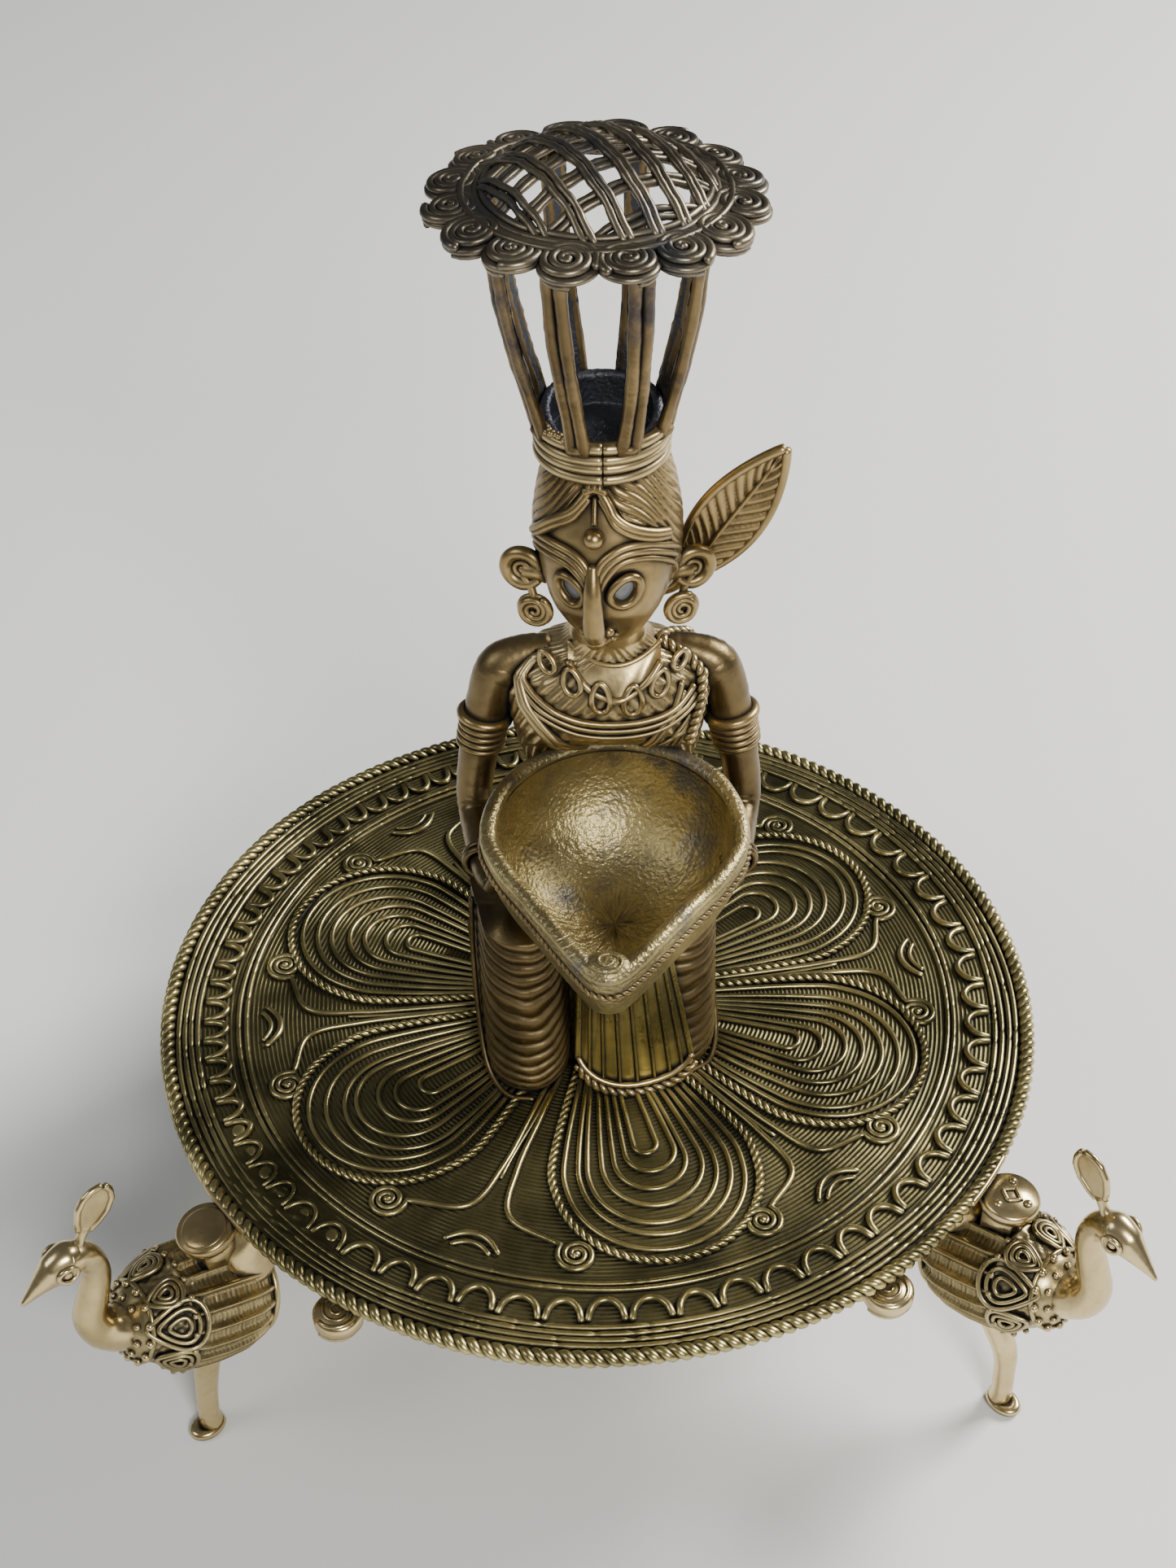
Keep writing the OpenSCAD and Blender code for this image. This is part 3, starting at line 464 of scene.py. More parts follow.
# scallops: arches bulging inwards, closer together on the left
scallops = Piece("scallop_band")
edge = [-180.0]
while edge[-1] < 180:
    c = edge[-1]
    step = 4.1 if c < -62 else (4.6 if c < -50 else 5.9)
    edge.append(c + step * (1 + RNG.uniform(-0.07, 0.07)))
edge = np.array(edge)
edge = (edge + 180) * 360 / (edge[-1] + 180) - 180
for a, b in zip(edge[:-1], edge[1:]):
    w = b - a
    q = ramp(19)
    bow = np.sqrt(np.clip(1 - (2 * q - 1) ** 2, 0, 1))
    r = 89.6 - 4.8 * bow + RNG.uniform(-0.25, 0.25)
    m = float(melted(np.array(a + w / 2), 88.0))
    scallops.add(laid(polar(r, a + w * (0.07 + 0.86 * q), 0.25 + 0.3 * bow), 0.78 * (1 - 0.35 * m)))
    if m > 0.25:
        scallops.add(ball(polar(87.2, a + w / 2, 0.0), RNG.uniform(0.9, 1.7), (1, 1.25, 0.3), 12))
scallops.build(THREAD, "antique_brass", "scallop_band", weld=False)

PETALS = (13.0, 71.0, 126.0, 187.0, 247.0, 306.0)


def drop_path(az, half, reach, start, lift, n=24):
    """Two legs from the hub that open at this half angle and close round a head."""
    s = math.sin(math.radians(half))
    c = reach / (1 + s)
    r = c * s
    a = np.radians(np.linspace(-(90 + half), 90 + half, n * 2))
    head = np.stack([c + r * np.cos(a), r * np.sin(a)], 1)
    foot = np.array([start, start * math.tan(math.radians(half))])
    k = np.linspace(0, 1, n, endpoint=False)[:, None]
    out_leg = foot * (1, -1) * (1 - k) + head[0] * k
    home_leg = head[-1] * (1 - k) + foot * k
    p = np.vstack([out_leg, head, home_leg[1:]])
    # the legs bow outwards a little
    bow = 1 + 0.05 * np.sin(math.pi * np.clip((p[:, 0] - start) / (c - start), 0, 1))
    x, y = p[:, 0], p[:, 1] * bow
    t = math.radians(az - 90)
    return np.stack([x * math.cos(t) - y * math.sin(t), x * math.sin(t) + y * math.cos(t),
                     np.full(len(x), lift)], 1)


LOOPS = ((20.6, 74.0), (17.6, 70.2), (14.7, 66.4), (11.9, 62.4), (9.1, 58.2), (6.3, 53.6), (3.4, 48.0))
for i, az in enumerate(PETALS):
    g = np.random.default_rng(20 + i)
    petal = Piece(f"petal_{i + 1}")
    petal.add(rope(drop_path(az, 23.6, 76.6, 19, 0.55), 0.98, 4.1, up=(0, 0, 1), sides=6, step=0.34))
    for half, reach in LOOPS:
        petal.add(laid(drop_path(az + g.uniform(-0.6, 0.6), half + g.uniform(-0.3, 0.3),
                                 reach + g.uniform(-0.6, 0.6), 20, 0.18, 20), 0.62))
    petal.build(THREAD, "antique_brass", f"petal_{i + 1}", weld=False)


# scrolls: pairs of stems that leave the hub and wind up beside the petals' heads
def scroll_path(mid, side, width):
    end_az = mid + side * width * 0.25
    c = polar(73.6, end_az)[:2]
    out = polar(1.0, end_az)[:2]
    tan = polar(1.0, end_az + 90 * side)[:2]
    base = polar(1.0, mid)[:2]
    base_t = polar(1.0, mid + 90 * side)[:2]
    pts = [base * r + base_t * t for r, t in ((26, 0.9), (40, 1.1), (54, 1.6), (66, 4.0 * width / 58))]
    coil = []
    for q in ramp(40):
        ang = math.radians(-35 + 360 * 2.3 * q)
        coil.append(c + 4.1 * (1 - 0.82 * q) * (-math.cos(ang) * tan + math.sin(ang) * out))
    stem = smooth(np.array([[p[0], p[1], 0] for p in pts + [coil[0]]]), 8)
    path = np.vstack([stem, [[p[0], p[1], 0] for p in coil[1:]]])
    path[:, 2] = 0.22 + 0.3 * ramp(len(path)) ** 2
    return path, c


scrolls, crescents = Piece("scrolls"), Piece("crescents")
for i, a in enumerate(PETALS):
    b = PETALS[(i + 1) % 6] + (360 if i == 5 else 0)
    mid, width = (a + b) / 2, b - a
    for side in (-1, 1):
        path, c = scroll_path(mid, side, width)
        scrolls.add(laid(path, np.concatenate([np.full(len(path) - 30, 0.68), np.linspace(0.68, 0.55, 30)])))
        scrolls.add(ball((c[0], c[1], 0.5), 0.95, (1, 1, 0.8), 10))
    vein = np.linspace(30, 57, 18)
    scrolls.add(laid(polar(vein, mid + 0.9 * np.sin(vein * 0.11 + i), 0.12), np.linspace(0.6, 0.4, 18)))
    q = np.linspace(-1, 1, 21)
    arc = polar(76.0 - 3.6 * (1 - np.abs(q) ** 2.2), mid + q * 4.6, 0.3)
    crescents.add(laid(arc, 0.75 * (1 - 0.35 * np.abs(q) ** 3), 8))
    crescents.add(laid(polar(76.6 - 2.0 * (1 - q ** 2), mid + q * 3.2, 0.2), 0.55))
scrolls.build(THREAD, "antique_brass", "scrolls", weld=False)
crescents.build(THREAD, "antique_brass", "crescents", weld=False)


# ---------------------------------------------------------------- figure

FX = node_box("torso")[2][0]
LEG_X = 16.5
TURN = 12.0


def base_turn(v):
    """The kneeling lower half looks a little to the left; it turns about the front of the knees."""
    c = np.array([FX, -28.0, 0])
    return (np.asarray(v, float) - c) @ rot("z", TURN).T + c


def stadium(w, y0, y1, back=3.0):
    """Closed outline, rounded in front at y0 and with small corners behind at y1."""
    r = w / 2
    a = np.radians(np.linspace(180, 360, 40))
    front = np.stack([r * np.cos(a), y0 + r + r * np.sin(a)], 1)
    b = np.radians(np.linspace(0, 90, 8))
    right = np.stack([r - back + back * np.cos(b), y1 - back + back * np.sin(b)], 1)
    left = np.stack([-(r - back + back * np.sin(b)), y1 - back + back * np.cos(b)], 1)
    p = np.vstack([front, right, left])
    p = resample(np.column_stack([p, np.zeros(len(p))]), 0.8, True)[:, :2]
    d = np.roll(p, -1, 0) - np.roll(p, 1, 0)
    return p, unit(np.stack([d[:, 1], -d[:, 0]], 1))


def thigh(s, name):
    """Upright thigh wound with sagging threads."""
    x0 = FX + s * LEG_X
    p, normal = stadium(19, -28, -1)
    inner = np.clip(-s * p[:, 0] / 9.5, -1, 1) * (p[:, 1] < -12)
    lean = np.clip((p[:, 1] + 28) / 27, 0, 1)
    sag = 4.2 * np.clip(inner, 0, 1) ** 1.6 + 1.4 * np.clip(-inner, 0, 1) ** 2 + 1.5 * lean
    rows = []
    for z in np.arange(-0.2, 46.01, 0.3):
        pitch = 2.1 + 1.2 * np.clip(z / 30, 0, 1)
        phase = (z - sag) / pitch + 0.06 * np.sin(p[:, 0] * 0.9 + z * 0.3)
        rib = np.abs(np.sin(math.pi * phase)) ** 0.55
        foot = 1 - math.exp(-((z + 0.2) / 2.6) ** 1.3)
        taper = 1.0 - 0.07 * np.clip(z / 46, 0, 1)
        q = p * taper + normal * (-1.05 + 1.0 * rib - 3.0 * (1 - foot))[:, None]
        rows.append(np.column_stack([q, np.full(len(q), z)]))
    v = np.stack(rows, 1)
    v[:, :, 0] += x0
    v = base_turn(v)
    piece = Piece(name).add(grid(v, wrap_u=True), cap(v[:, 0]), cap(v[:, -1]))
    # a plain border thread down the outer side and along the foot
    k = [(9.3, -8, 45), (9.9, -10, 30), (9.9, -14, 14), (9.4, -20, 5), (6.5, -25.8, 1.4), (1, -28.1, 0.8)]
    return piece.add(tube(base_turn(smooth([(x0 + s * x, y, z) for x, y, z in k], 10)), 0.62, 7))


thigh(-1, "left_thigh").build(LIMB, "warm_brass", "left_thigh")
right = thigh(1, "right_thigh")
# the right foot ends in curled threads that lap over each other
for i in range(3):
    t = np.radians(np.linspace(215, 355, 22))
    z = 6.0 - 1.9 * i + 1.9 * np.sin(2.2 * t + i)
    curl = np.stack([FX + LEG_X + 8.0 * np.cos(t), -19.0 + 7.8 * np.sin(t), z], 1)
    right.add(tube(base_turn(curl), np.concatenate([np.linspace(0.4, 1.0, 11), np.linspace(1.0, 0.5, 11)])))
right.build(LIMB, "warm_brass", "right_thigh")


def shin(s):
    """Lower leg folded back along the plate."""
    rows = []
    for t in ramp(60):
        y = -3 + 30 * t
        r = 7.4 * (1 - 0.18 * t ** 2) * math.sqrt(max(1 - max(0, (t - 0.86) / 0.14) ** 2, 0.02))
        r += 0.35 * abs(math.sin(math.pi * y / 2.6)) ** 0.6 - 0.3
        a = np.radians(np.linspace(-90, 270, 48, endpoint=False))
        z = np.clip(6.4 + r * 0.92 * np.sin(a), -0.1, 14)
        rows.append(np.column_stack([FX + s * LEG_X + r * np.cos(a), np.full(48, y), z]))
    return grid(base_turn(np.stack(rows, 0)), wrap_v=True)


shins = Piece("shins").add(shin(-1), shin(1))
for s in (-1, 1):
    for t in (-0.6, 0.6):
        toe = [(FX + s * LEG_X + t * 3.0, 26.5 + 0.4 * k, 5 + t + 0.8 * k) for k in range(4)]
        shins.add(tube(base_turn(toe), 1.3))
shins.build(WARM, "warm_brass", "shins")


def apron_at(u, h):
    """A point of the apron's face; u runs across from -1 to 1 and h up from 0 to 1."""
    half = 12.0 - 3.2 * h
    x = FX + 5.7 + half * np.sin(u * 1.25) / math.sin(1.25) - 2.2 * h
    y = -29.6 + np.where(u < 0, 5.2, 0.9) * u ** 2 + 1.2 * h
    z = 1.9 + 37.5 * h + 5.2 * np.abs(u) ** 2 * (1 - h)
    return np.stack([x, y, z], -1)


# apron: flat flutes between thin raised edges, flaring to a hem that bows forward
apron = Piece("apron")
U, H = np.meshgrid(np.linspace(-1, 1, 145), ramp(50), indexing="ij")
face = apron_at(U, H)
flute = np.abs(np.sin(math.pi * (U + 1) * 4))
face[:, :, 1] = face[:, :, 1] - 0.42 * np.clip(flute * 3.0, 0, 1) + 0.75
apron.add(grid(base_turn(face)))
for k in range(9):
    apron.add(tube(base_turn(apron_at(np.full(24, -1 + k / 4), ramp(24)) - (0, 0.12, 0)), 0.36, 6))
behind = np.array([(FX + x, -19, z) for x, z in ((-7.2, 0.2), (7.2, 0.2), (7.2, 40), (-7.2, 40))])
box_faces = [(0, 1, 2, 3), (4, 7, 6, 5), (0, 4, 5, 1), (1, 5, 6, 2), (2, 6, 7, 3), (3, 7, 4, 0)]
apron.add((base_turn(np.vstack([behind, behind + (0, 17.5, 0)])), box_faces))
for s in (-1, 1):
    side = apron_at(np.full(20, 1.0 * s), ramp(20))
    apron.add(tube(base_turn(side + (0.3 * s, 0.4, 0)), 0.7, 7))
    apron.add(grid(base_turn(np.stack([side + (0, d, 0) for d in (0.0, 2.5, 5.0)], 0))))
apron.build(THREAD, "warm_brass", "apron")

hem = Piece("apron_rope")
foot = apron_at(np.linspace(-1.04, 1.04, 60), np.zeros(60))
hem.add(tube(base_turn(foot + (0, -0.5, 0.2)), 0.72))
hem.add(rope(base_turn(foot * (1.01, 1, 1) + (0, -0.9, -1.7)), 1.25, 4.2))
hem.build(GOLD, "warm_brass", "apron_rope")

# torso: cross-sections from hips to neck as height, half width, half depth and middle
TORSO = np.array([(44, 22.5, 13.5, -2), (50, 21.0, 12.5, -1.5), (57, 17.8, 10.8, -0.5), (63, 16.0, 10.0, 0),
                  (70, 16.2, 10.0, 0), (78, 18.6, 11.0, 0), (86, 20.2, 11.8, -0.3), (93, 20.6, 11.6, 0),
                  (98, 19.4, 10.2, 0.3), (101, 15.5, 8.6, 0.4), (103.5, 9.6, 7.4, 0), (106, 7.4, 7.0, -0.4),
                  (110, 7.0, 7.0, -1.2), (117, 7.2, 7.2, -3.5)])


def torso_at(az, z, lift=0.0):
    """A point of the trunk's skin at this turn from the front; it stays behind the bowl."""
    a = np.radians(np.asarray(az, float))
    rx, ry, mid = (np.interp(z, TORSO[:, 0], TORSO[:, k]) for k in (1, 2, 3))
    c, s = np.cos(a), np.sin(a)
    k = (np.abs(s) ** 2.5 + np.abs(c) ** 2.5) ** (-1 / 2.5)
    front = np.interp(z, [0, 79, 84, 90], [-4.2, -4.2, -10.5, -14]) - 0.35 * lift
    y = np.maximum(mid - (ry + lift) * c * k, front)
    return np.stack(np.broadcast_arrays(FX + (rx + lift) * s * k, y, np.asarray(z, float)), -1)


A, Z = np.meshgrid(np.linspace(-180, 180, 180, endpoint=False), np.arange(44, 116.6, 0.45), indexing="ij")
chest = np.clip((Z - 66) / 6, 0, 1) * np.clip((106 - Z) / 4, 0, 1)
woven = np.abs(np.sin(math.pi * (A * 0.34 * np.sign(A + 1e-9) + Z * 0.9) / 3.4)) ** 0.6
banded = np.abs(np.sin(math.pi * Z / 2.7)) ** 0.6
waist = (1 - chest) * np.clip((62 - Z) / 6, 0, 1)
v = torso_at(A, Z, chest * (-0.85 + 0.85 * woven) + waist * (-0.7 + 0.7 * banded))
Piece("torso").add(grid(v, wrap_u=True), cap(v[:, 0]), cap(v[:, -1])).build(GOLD, "warm_brass", "torso")


def on_chest(points, lift=0.4, n=8):
    """Carries (turn, height) points onto the chest as a smooth path."""
    p = smooth([(a, z, 0) for a, z in points], n)
    return torso_at(p[:, 0], p[:, 1], lift)


# necklace: a flat crescent standing a little off the skin, with drop loops below it
necklace = Piece("necklace")
q = np.linspace(-1, 1, 41)
face = []
for t in ramp(9):
    z = (104.2 - 3.2 * (1 - q ** 2) + 1.2) * (1 - t) + (102.6 - 6.6 * (1 - q ** 2)) * t
    y = -8.0 - 3.3 * t + 4.2 * q ** 2 + 0.25 * np.sin(q * 9 + t * 4) * t
    face.append(np.stack([FX + 1.2 + 9.2 * q, y, z], 1))
face = np.stack(face, 0)
necklace.add(grid(face), grid(face[::-1] + (0, 1.3, -0.5)), tube(face[-1], 0.75), tube(face[0], 0.5))
DROPS = ((-12.2, 102.4, 3.6, 5.0, 38), (-7.3, 99.4, 4.0, 5.6, 18), (-1.6, 96.4, 4.2, 6.4, 6),
         (4.8, 95.6, 4.3, 6.4, -5), (10.2, 98.4, 4.0, 5.6, -24), (14.2, 102.0, 3.2, 4.4, -42))
t = full_turn(26)
for dx, z0, w, h, tilt in DROPS:
    lx = w / 2 * np.sin(t) * (0.55 + 0.45 * np.sin(t / 2))
    lz = h / 2 - h / 2 * (1 - np.cos(t))
    c, s = math.cos(math.radians(tilt)), math.sin(math.radians(tilt))
    px = dx + lx * c - lz * s * 0.6
    pz = z0 + lz * c + lx * s * 0.6
    y = -11.6 + 0.020 * px ** 2 + 0.30 * np.maximum(pz - 96, 0)
    necklace.add(tube(np.stack([FX + px, y, pz], 1), 0.62, 7, True))
necklace.build(GOLD, "polished_brass", "necklace")

sash = Piece("sash")
# thread arcs below the loops
for k, r in enumerate((0.72, 0.62, 0.55)):
    arc = ((-58, 99), (-40, 95), (-18, 91.4), (6, 90.6), (30, 92.0), (52, 96.5))
    sash.add(tube(on_chest([(a, z - 1.6 * k) for a, z in arc], 0.45), r, 7))
# the double strap from the left shoulder
for k in (-1, 0, 1):
    strap = [(-66, 102.5), (-54 + 4 * k, 96 - k), (-40 + 4.6 * k, 89.5 - k), (-26 + 5 * k, 84 - k),
             (-18 + 5 * k, 81.5 - k)]
    sash.add(tube(on_chest(strap, 0.5), 0.95 if k else 0.7))
# the braid over the right shoulder
braid = on_chest([(130, 98), (105, 102.5), (78, 103), (62, 98), (52, 91), (46, 84)], 0.9, 12)
sash.add(rope(braid, 1.25, 3.6))
for k in (-1, 1):
    sash.add(tube(on_chest([(44, 97 + k), (36, 92 + k), (27, 87 + k), (20, 83 + k)], 0.3), 0.6, 7))
fans = [[(66 - 6 * k, 94 - 1.2 * k), (54 - 6 * k, 89 - 1.2 * k), (46 - 5 * k, 84 - 0.8 * k)]
        for k in range(4)]
fans += [[(28 + 6 * k, 84 + 0.8 * k), (44 + 5 * k, 87 + 1.0 * k), (62 + 4 * k, 91 + 1.0 * k)]
         for k in range(4)]
for fold in fans:
    sash.add(tube(on_chest(fold, 0.15), 0.42, 6))
sash.build(GOLD, "warm_brass", "sash")

# the arm's line from shoulder to finger tips, as distance to the side, depth and height
ARM = ((11.5, 0.6, 100.4), (17.5, 0.4, 99.0), (22.2, 0, 95.8), (25.0, -0.5, 86), (27.0, -1.4, 75),
       (28.2, -2.4, 66), (27.8, -6.0, 61.6), (26.6, -15, 61.4), (25.0, -25, 62.6), (23.6, -29.5, 63.6))
ARM_R = (3.2, 4.0, 4.7, 4.4, 4.1, 3.8, 3.6, 3.3, 2.8, 2.2)


def arm(s, name):
    p = smooth([(FX + s * x, y, z) for x, y, z in ARM], 9)
    r = spread(len(p), ramp(len(ARM_R)), ARM_R)
    uneven = np.random.default_rng(3 + s).standard_normal(len(p))
    a = Piece(name).add(tube(p, r * (1 + 0.012 * uneven), 24))
    a.add(ball((FX + s * 21.6, 0, 96.2), 4.75, (1, 1.02, 0.95), 22))
    # fingers under the bowl and plain bangles at the wrist
    for k in range(4):
        y = -24.5 - 1.9 * k
        finger = [(FX + s * 24.6, y, 62.8), (FX + s * 23.6, y - 0.6, 65.6), (FX + s * 22.4, y - 0.8, 68.4)]
        a.add(tube(smooth(finger, 5), [1.15] * 6 + [1.05, 1.0, 0.95, 0.85, 0.6]))
    t = full_turn(28)
    for y in (-19.5, -21.2):
        bangle = np.stack([FX + s * (26.0 + 3.7 * np.cos(t)), np.full(28, y), 62.0 + 3.7 * np.sin(t)], 1)
        a.add(tube(bangle, 0.75, 7, True))
    a.build(LIMB, "warm_brass", name)


arm(-1, "left_arm")
arm(1, "right_arm")
armlets = Piece("armlets")
for s in (-1, 1):
    above, below = (np.array([FX + s * x, y, z]) for x, y, z in ARM[3:5])
    d = unit(below - above)
    side = unit(np.cross(d, [0, 1.0, 0]))
    fwd = np.cross(side, d)
    for k, (w, r) in enumerate(((0.0, 1.15), (2.1, 0.85), (3.7, 0.8), (5.3, 0.8), (6.8, 0.7))):
        R = 4.35 + (0.45 if k == 0 else 0.1)
        t = full_turn(36)[:, None]
        armlets.add(tube(above + d * (w + 1.6) + R * (np.cos(t) * side + np.sin(t) * fwd), r, 8, True))
armlets.build(WARM, "warm_brass", "armlets")


# ---------------------------------------------------------------- oil bowl

BOWL = np.array([node_box("oil_bowl")[2][0], -30.0, 78.0])
BOWL_TILT = rot("z", -3) @ rot("x", 4)
BOWL_R, SPOUT_R, SPOUT_Y = 26.5, 5.5, -34.0
BUTTON_Y = SPOUT_Y - 1.6


def pear_outline(grow, z=0.0, n=200):
    """Outline of the bowl's rim, from the hull of its round end and its spout."""
    a0 = math.asin((BOWL_R - SPOUT_R) / abs(SPOUT_Y))
    a = np.linspace(-a0, math.pi + a0, 120)
    big = np.stack([(BOWL_R + grow) * np.cos(a), (BOWL_R + grow) * np.sin(a)], 1)
    b = np.linspace(math.pi + a0, TAU - a0, 30)
    small = np.stack([(SPOUT_R + grow) * np.cos(b), SPOUT_Y + (SPOUT_R + grow) * np.sin(b)], 1)
    p = np.column_stack([np.vstack([big, small]), np.zeros(150)])
    s, total = along(p, True)
    q = np.vstack([p, p[:1]])
    at = np.linspace(0, total, n, endpoint=False)
    out = np.stack([np.interp(at, np.concatenate([s, [total]]), q[:, k]) for k in range(3)], 1)
    # the flanks draw in a little between the round end and the spout
    t = np.clip((-out[:, 1] - 4) / 30, 0, 1)
    out[:, 0] *= 1 - 0.06 * np.sin(math.pi * t)
    out[:, 2] = z
    return out


def bowl_skin(heights, shares):
    """Rings that shrink towards the keel."""
    base, keel = pear_outline(0), np.array([0, -4.0, 0])
    v = np.stack([keel + (base - keel) * g for g in shares], 1)
    v[:, :, 2] = heights
    return v


t = np.linspace(0, math.pi / 2, 34)
close = np.maximum(np.cos(t), 0.002)
depth = BOWL_R * 0.98
outer = bowl_skin(-depth * np.sin(t), close ** 0.82)
inner = bowl_skin(-(depth - 3.2) * np.sin(t) - 0.2, close ** 0.80 * 0.885)
inner[:, 1:-1] += np.random.default_rng(5).normal(0, 0.06, inner[:, 1:-1].shape)
k = np.arange(200)
rim = pear_outline(-1.55, 0.15 + 0.10 * np.sin(k * 0.21) + 0.07 * np.sin(k * 0.53))
bowl = Piece("oil_bowl", BOWL_TILT, BOWL).add(grid(outer, wrap_u=True), grid(inner, wrap_u=True))
bowl.add(tube(rim, 1.72 + 0.06 * np.sin(k * 0.37), 14, True, up=(0, 0, 1), flat=0.9))
# the swirled button on the spout's tip, with small cuts beside it
bowl.add(ball((0, BUTTON_Y, 0.9), 4.1, (1.1, 0.85, 0.42), 22))
bowl.add(tube(spiral(3.3, 0.5, 1.6, 200) * (1.05, 0.85, 1) + (0, BUTTON_Y, 2.35), 0.42, 7))
for k in range(3):
    c = np.array([-6.2 - 1.25 * k, SPOUT_Y + 0.6 + 1.9 * k, 1.55])
    bowl.add(tube([c + (-1.2, -0.5, 0), c, c + (1.1, 0.9, 0)], 0.34, 6))
bowl.build(BOWL_BRASS, "warm_brass", "oil_bowl")
Piece("bowl_rope", BOWL_TILT, BOWL).add(rope(pear_outline(-0.25, -3.6), 0.85, 3.0, True, (0, 0, 1))).build(
    WARM, "warm_brass", "bowl_rope")


# ---------------------------------------------------------------- head

HEAD = np.array([FX, -4.0, 126.64])
HEAD_TILT = rot("x", -18)
HEAD_W, HEAD_H = 27.0, 42.0
# the head's outline from neck to crown, as shares of its height and width
OUTLINE = np.array([(-0.42, 0.001), (-0.41, 0.10), (-0.395, 0.17), (-0.36, 0.235), (-0.31, 0.30),
                    (-0.24, 0.37), (-0.17, 0.42), (-0.08, 0.465), (0.0, 0.49), (0.14, 0.50),
                    (0.22, 0.495), (0.30, 0.475), (0.38, 0.45), (0.46, 0.41), (0.50, 0.385),
                    (0.56, 0.33)])


def on_head(theta, h, lift=0.0):
    """A point of the head at this turn from the front and height on the head's own axis."""
    theta, h = np.broadcast_arrays(np.asarray(theta, float), np.asarray(h, float))
    r = np.interp(h / HEAD_H, OUTLINE[:, 0], OUTLINE[:, 1] * HEAD_W) + lift
    a = np.radians(theta)
    return np.stack([r * np.sin(a), -r * np.cos(a), h], -1) @ HEAD_TILT.T + HEAD


def head_line(points, radius, lift=0.35, n=8, sides=8):
    """A thread laid on the head through (turn, height) points."""
    p = smooth([(a, h, 0) for a, h in points], n)
    return tube(on_head(p[:, 0], p[:, 1], lift), radius, sides)


# each eye's turn, height and slant
EYES = ((-37.0, -4.4, 1), (15.5, -4.2, -1))
NOSE = -13.0
heights = np.concatenate([np.linspace(-17.6, -15, 8, endpoint=False), np.arange(-15, 23.6, 0.6)])
T, H = np.meshgrid(np.arange(-180, 180, 2.5), heights, indexing="ij")
lift = np.zeros_like(T)
for e, eh, _ in EYES:
    lift -= 2.1 * np.exp(-(((T - e) / 15.0) ** 2 + ((H - eh) / 3.4) ** 2) ** 1.5)
lift += 0.5 * np.exp(-((T - 38) / 22) ** 2 - ((H + 9) / 5) ** 2)
lift += 0.5 * np.exp(-((T + 66) / 18) ** 2 - ((H + 9) / 5) ** 2)
v = on_head(T, H, lift)
head = Piece("head").add(grid(v, wrap_u=True), cap(v[:, -1]))
# nose, mouth and the strip under it
nose = smooth([on_head(*p) for p in ((-12.5, 1.2, 0.4), (-12.7, -3, 1.3), (-13, -7.5, 2.3),
                                     (-13.4, -11.5, 3.3), (-13.6, -13.8, 3.9))], 9)
head.add(tube(nose, spread(len(nose), [0, 0.3, 0.8, 1], [1.1, 1.75, 2.1, 1.9]), 16))
head.add(ball(on_head(-13.6, -14.0, 3.8), 2.05))
for k in (-1, 1):
    head.add(ball(on_head(NOSE + 12 * k, -12.6, 2.0), 1.2, (1, 1, 0.85), 12))
head.add(head_line([(6, -14.4), (0, -15.6), (-12, -16.2), (-24, -15.6)], 0.75, 1.3, 7))
head.add(head_line([(10, -13.6), (4, -14.7), (-5, -15.2)], 0.5, 0.9, 7, 7))
# brows: threads from the nose's bridge out to the temples
for k, r in enumerate((0.85, 0.8, 0.7)):
    o = 1.35 * k
    left = [(-11 + 1.5 * k, -2.5 - o * 0.5), (-7 + 2 * k, 1.2 - o), (3 + k, 3.7 - o), (16, 5.0 - o),
            (34, 4.9 - o), (56 - 2 * k, 3.6 - o), (72 - 4 * k, 2.4 - o)]
    right = [(-14 - 1.5 * k, -2.5 - o * 0.5), (-19 - 2 * k, 1.2 - o), (-31 - k, 3.6 - o), (-52, 4.9 - o),
             (-70, 5.2 - o), (-88, 5.0 - o)]
    head.add(head_line(left, r, 0.45, 9), head_line(right, r, 0.45, 9))
t = full_turn(40)
for e, eh, slant in EYES:
    x = 13.5 * (1 + 0.12 * np.cos(t) * slant) * np.cos(t)
    y = 3.0 * np.sin(t) * (0.75 + 0.25 * np.abs(np.sin(t))) - slant * 0.055 * x
    head.add(tube(on_head(e + x, eh + y, 0.25), 0.92, 8, True))
    head.add(tube(on_head(e + x * 0.78, eh + y * 0.78, -0.35), 0.45, 7, True))
head.build(WARM, "warm_brass", "head")
hollows = Piece("eye_hollows")
u = full_turn(28)
for e, eh, slant in EYES:
    rings = []
    for k in np.linspace(0.02, 0.86, 6):
        x, y = 13.5 * k * np.cos(u), 2.9 * k * np.sin(u)
        rings.append(on_head(e + x, eh + y - slant * 0.055 * x, -0.5 - 0.3 * (1 - k)))
    hollows.add(grid(np.stack(rings, 1), wrap_u=True))
hollows.build(GREY, "warm_brass")

# hair, combed back from a line that is highest over the nose
T, S = np.meshgrid(np.arange(-180, 180, 1.6), ramp(60), indexing="ij")
D = (T - NOSE + 180) % 360 - 180
line = np.interp(np.abs(D), [0, 14, 26, 45, 62, 74, 90, 110, 180],
                 [17.5, 13.5, 9.2, 7.4, 6.2, 1.5, -5, -9, -11])
H = line + (23.3 - line) * S
comb = np.abs(np.sin(math.pi * (H * 0.42 + np.abs(D) * 0.085 + 0.35 * np.sin(D * 0.11)))) ** 0.5
fade = np.clip((np.abs(D) - 10) / 8, 0.25, 1)
lift = -0.3 + np.clip(S / 0.06, 0, 1) * (0.55 + 0.75 * comb * fade)
Piece("hair").add(grid(on_head(T, H, lift), wrap_u=True)).build(WARM, "warm_brass", "hair")

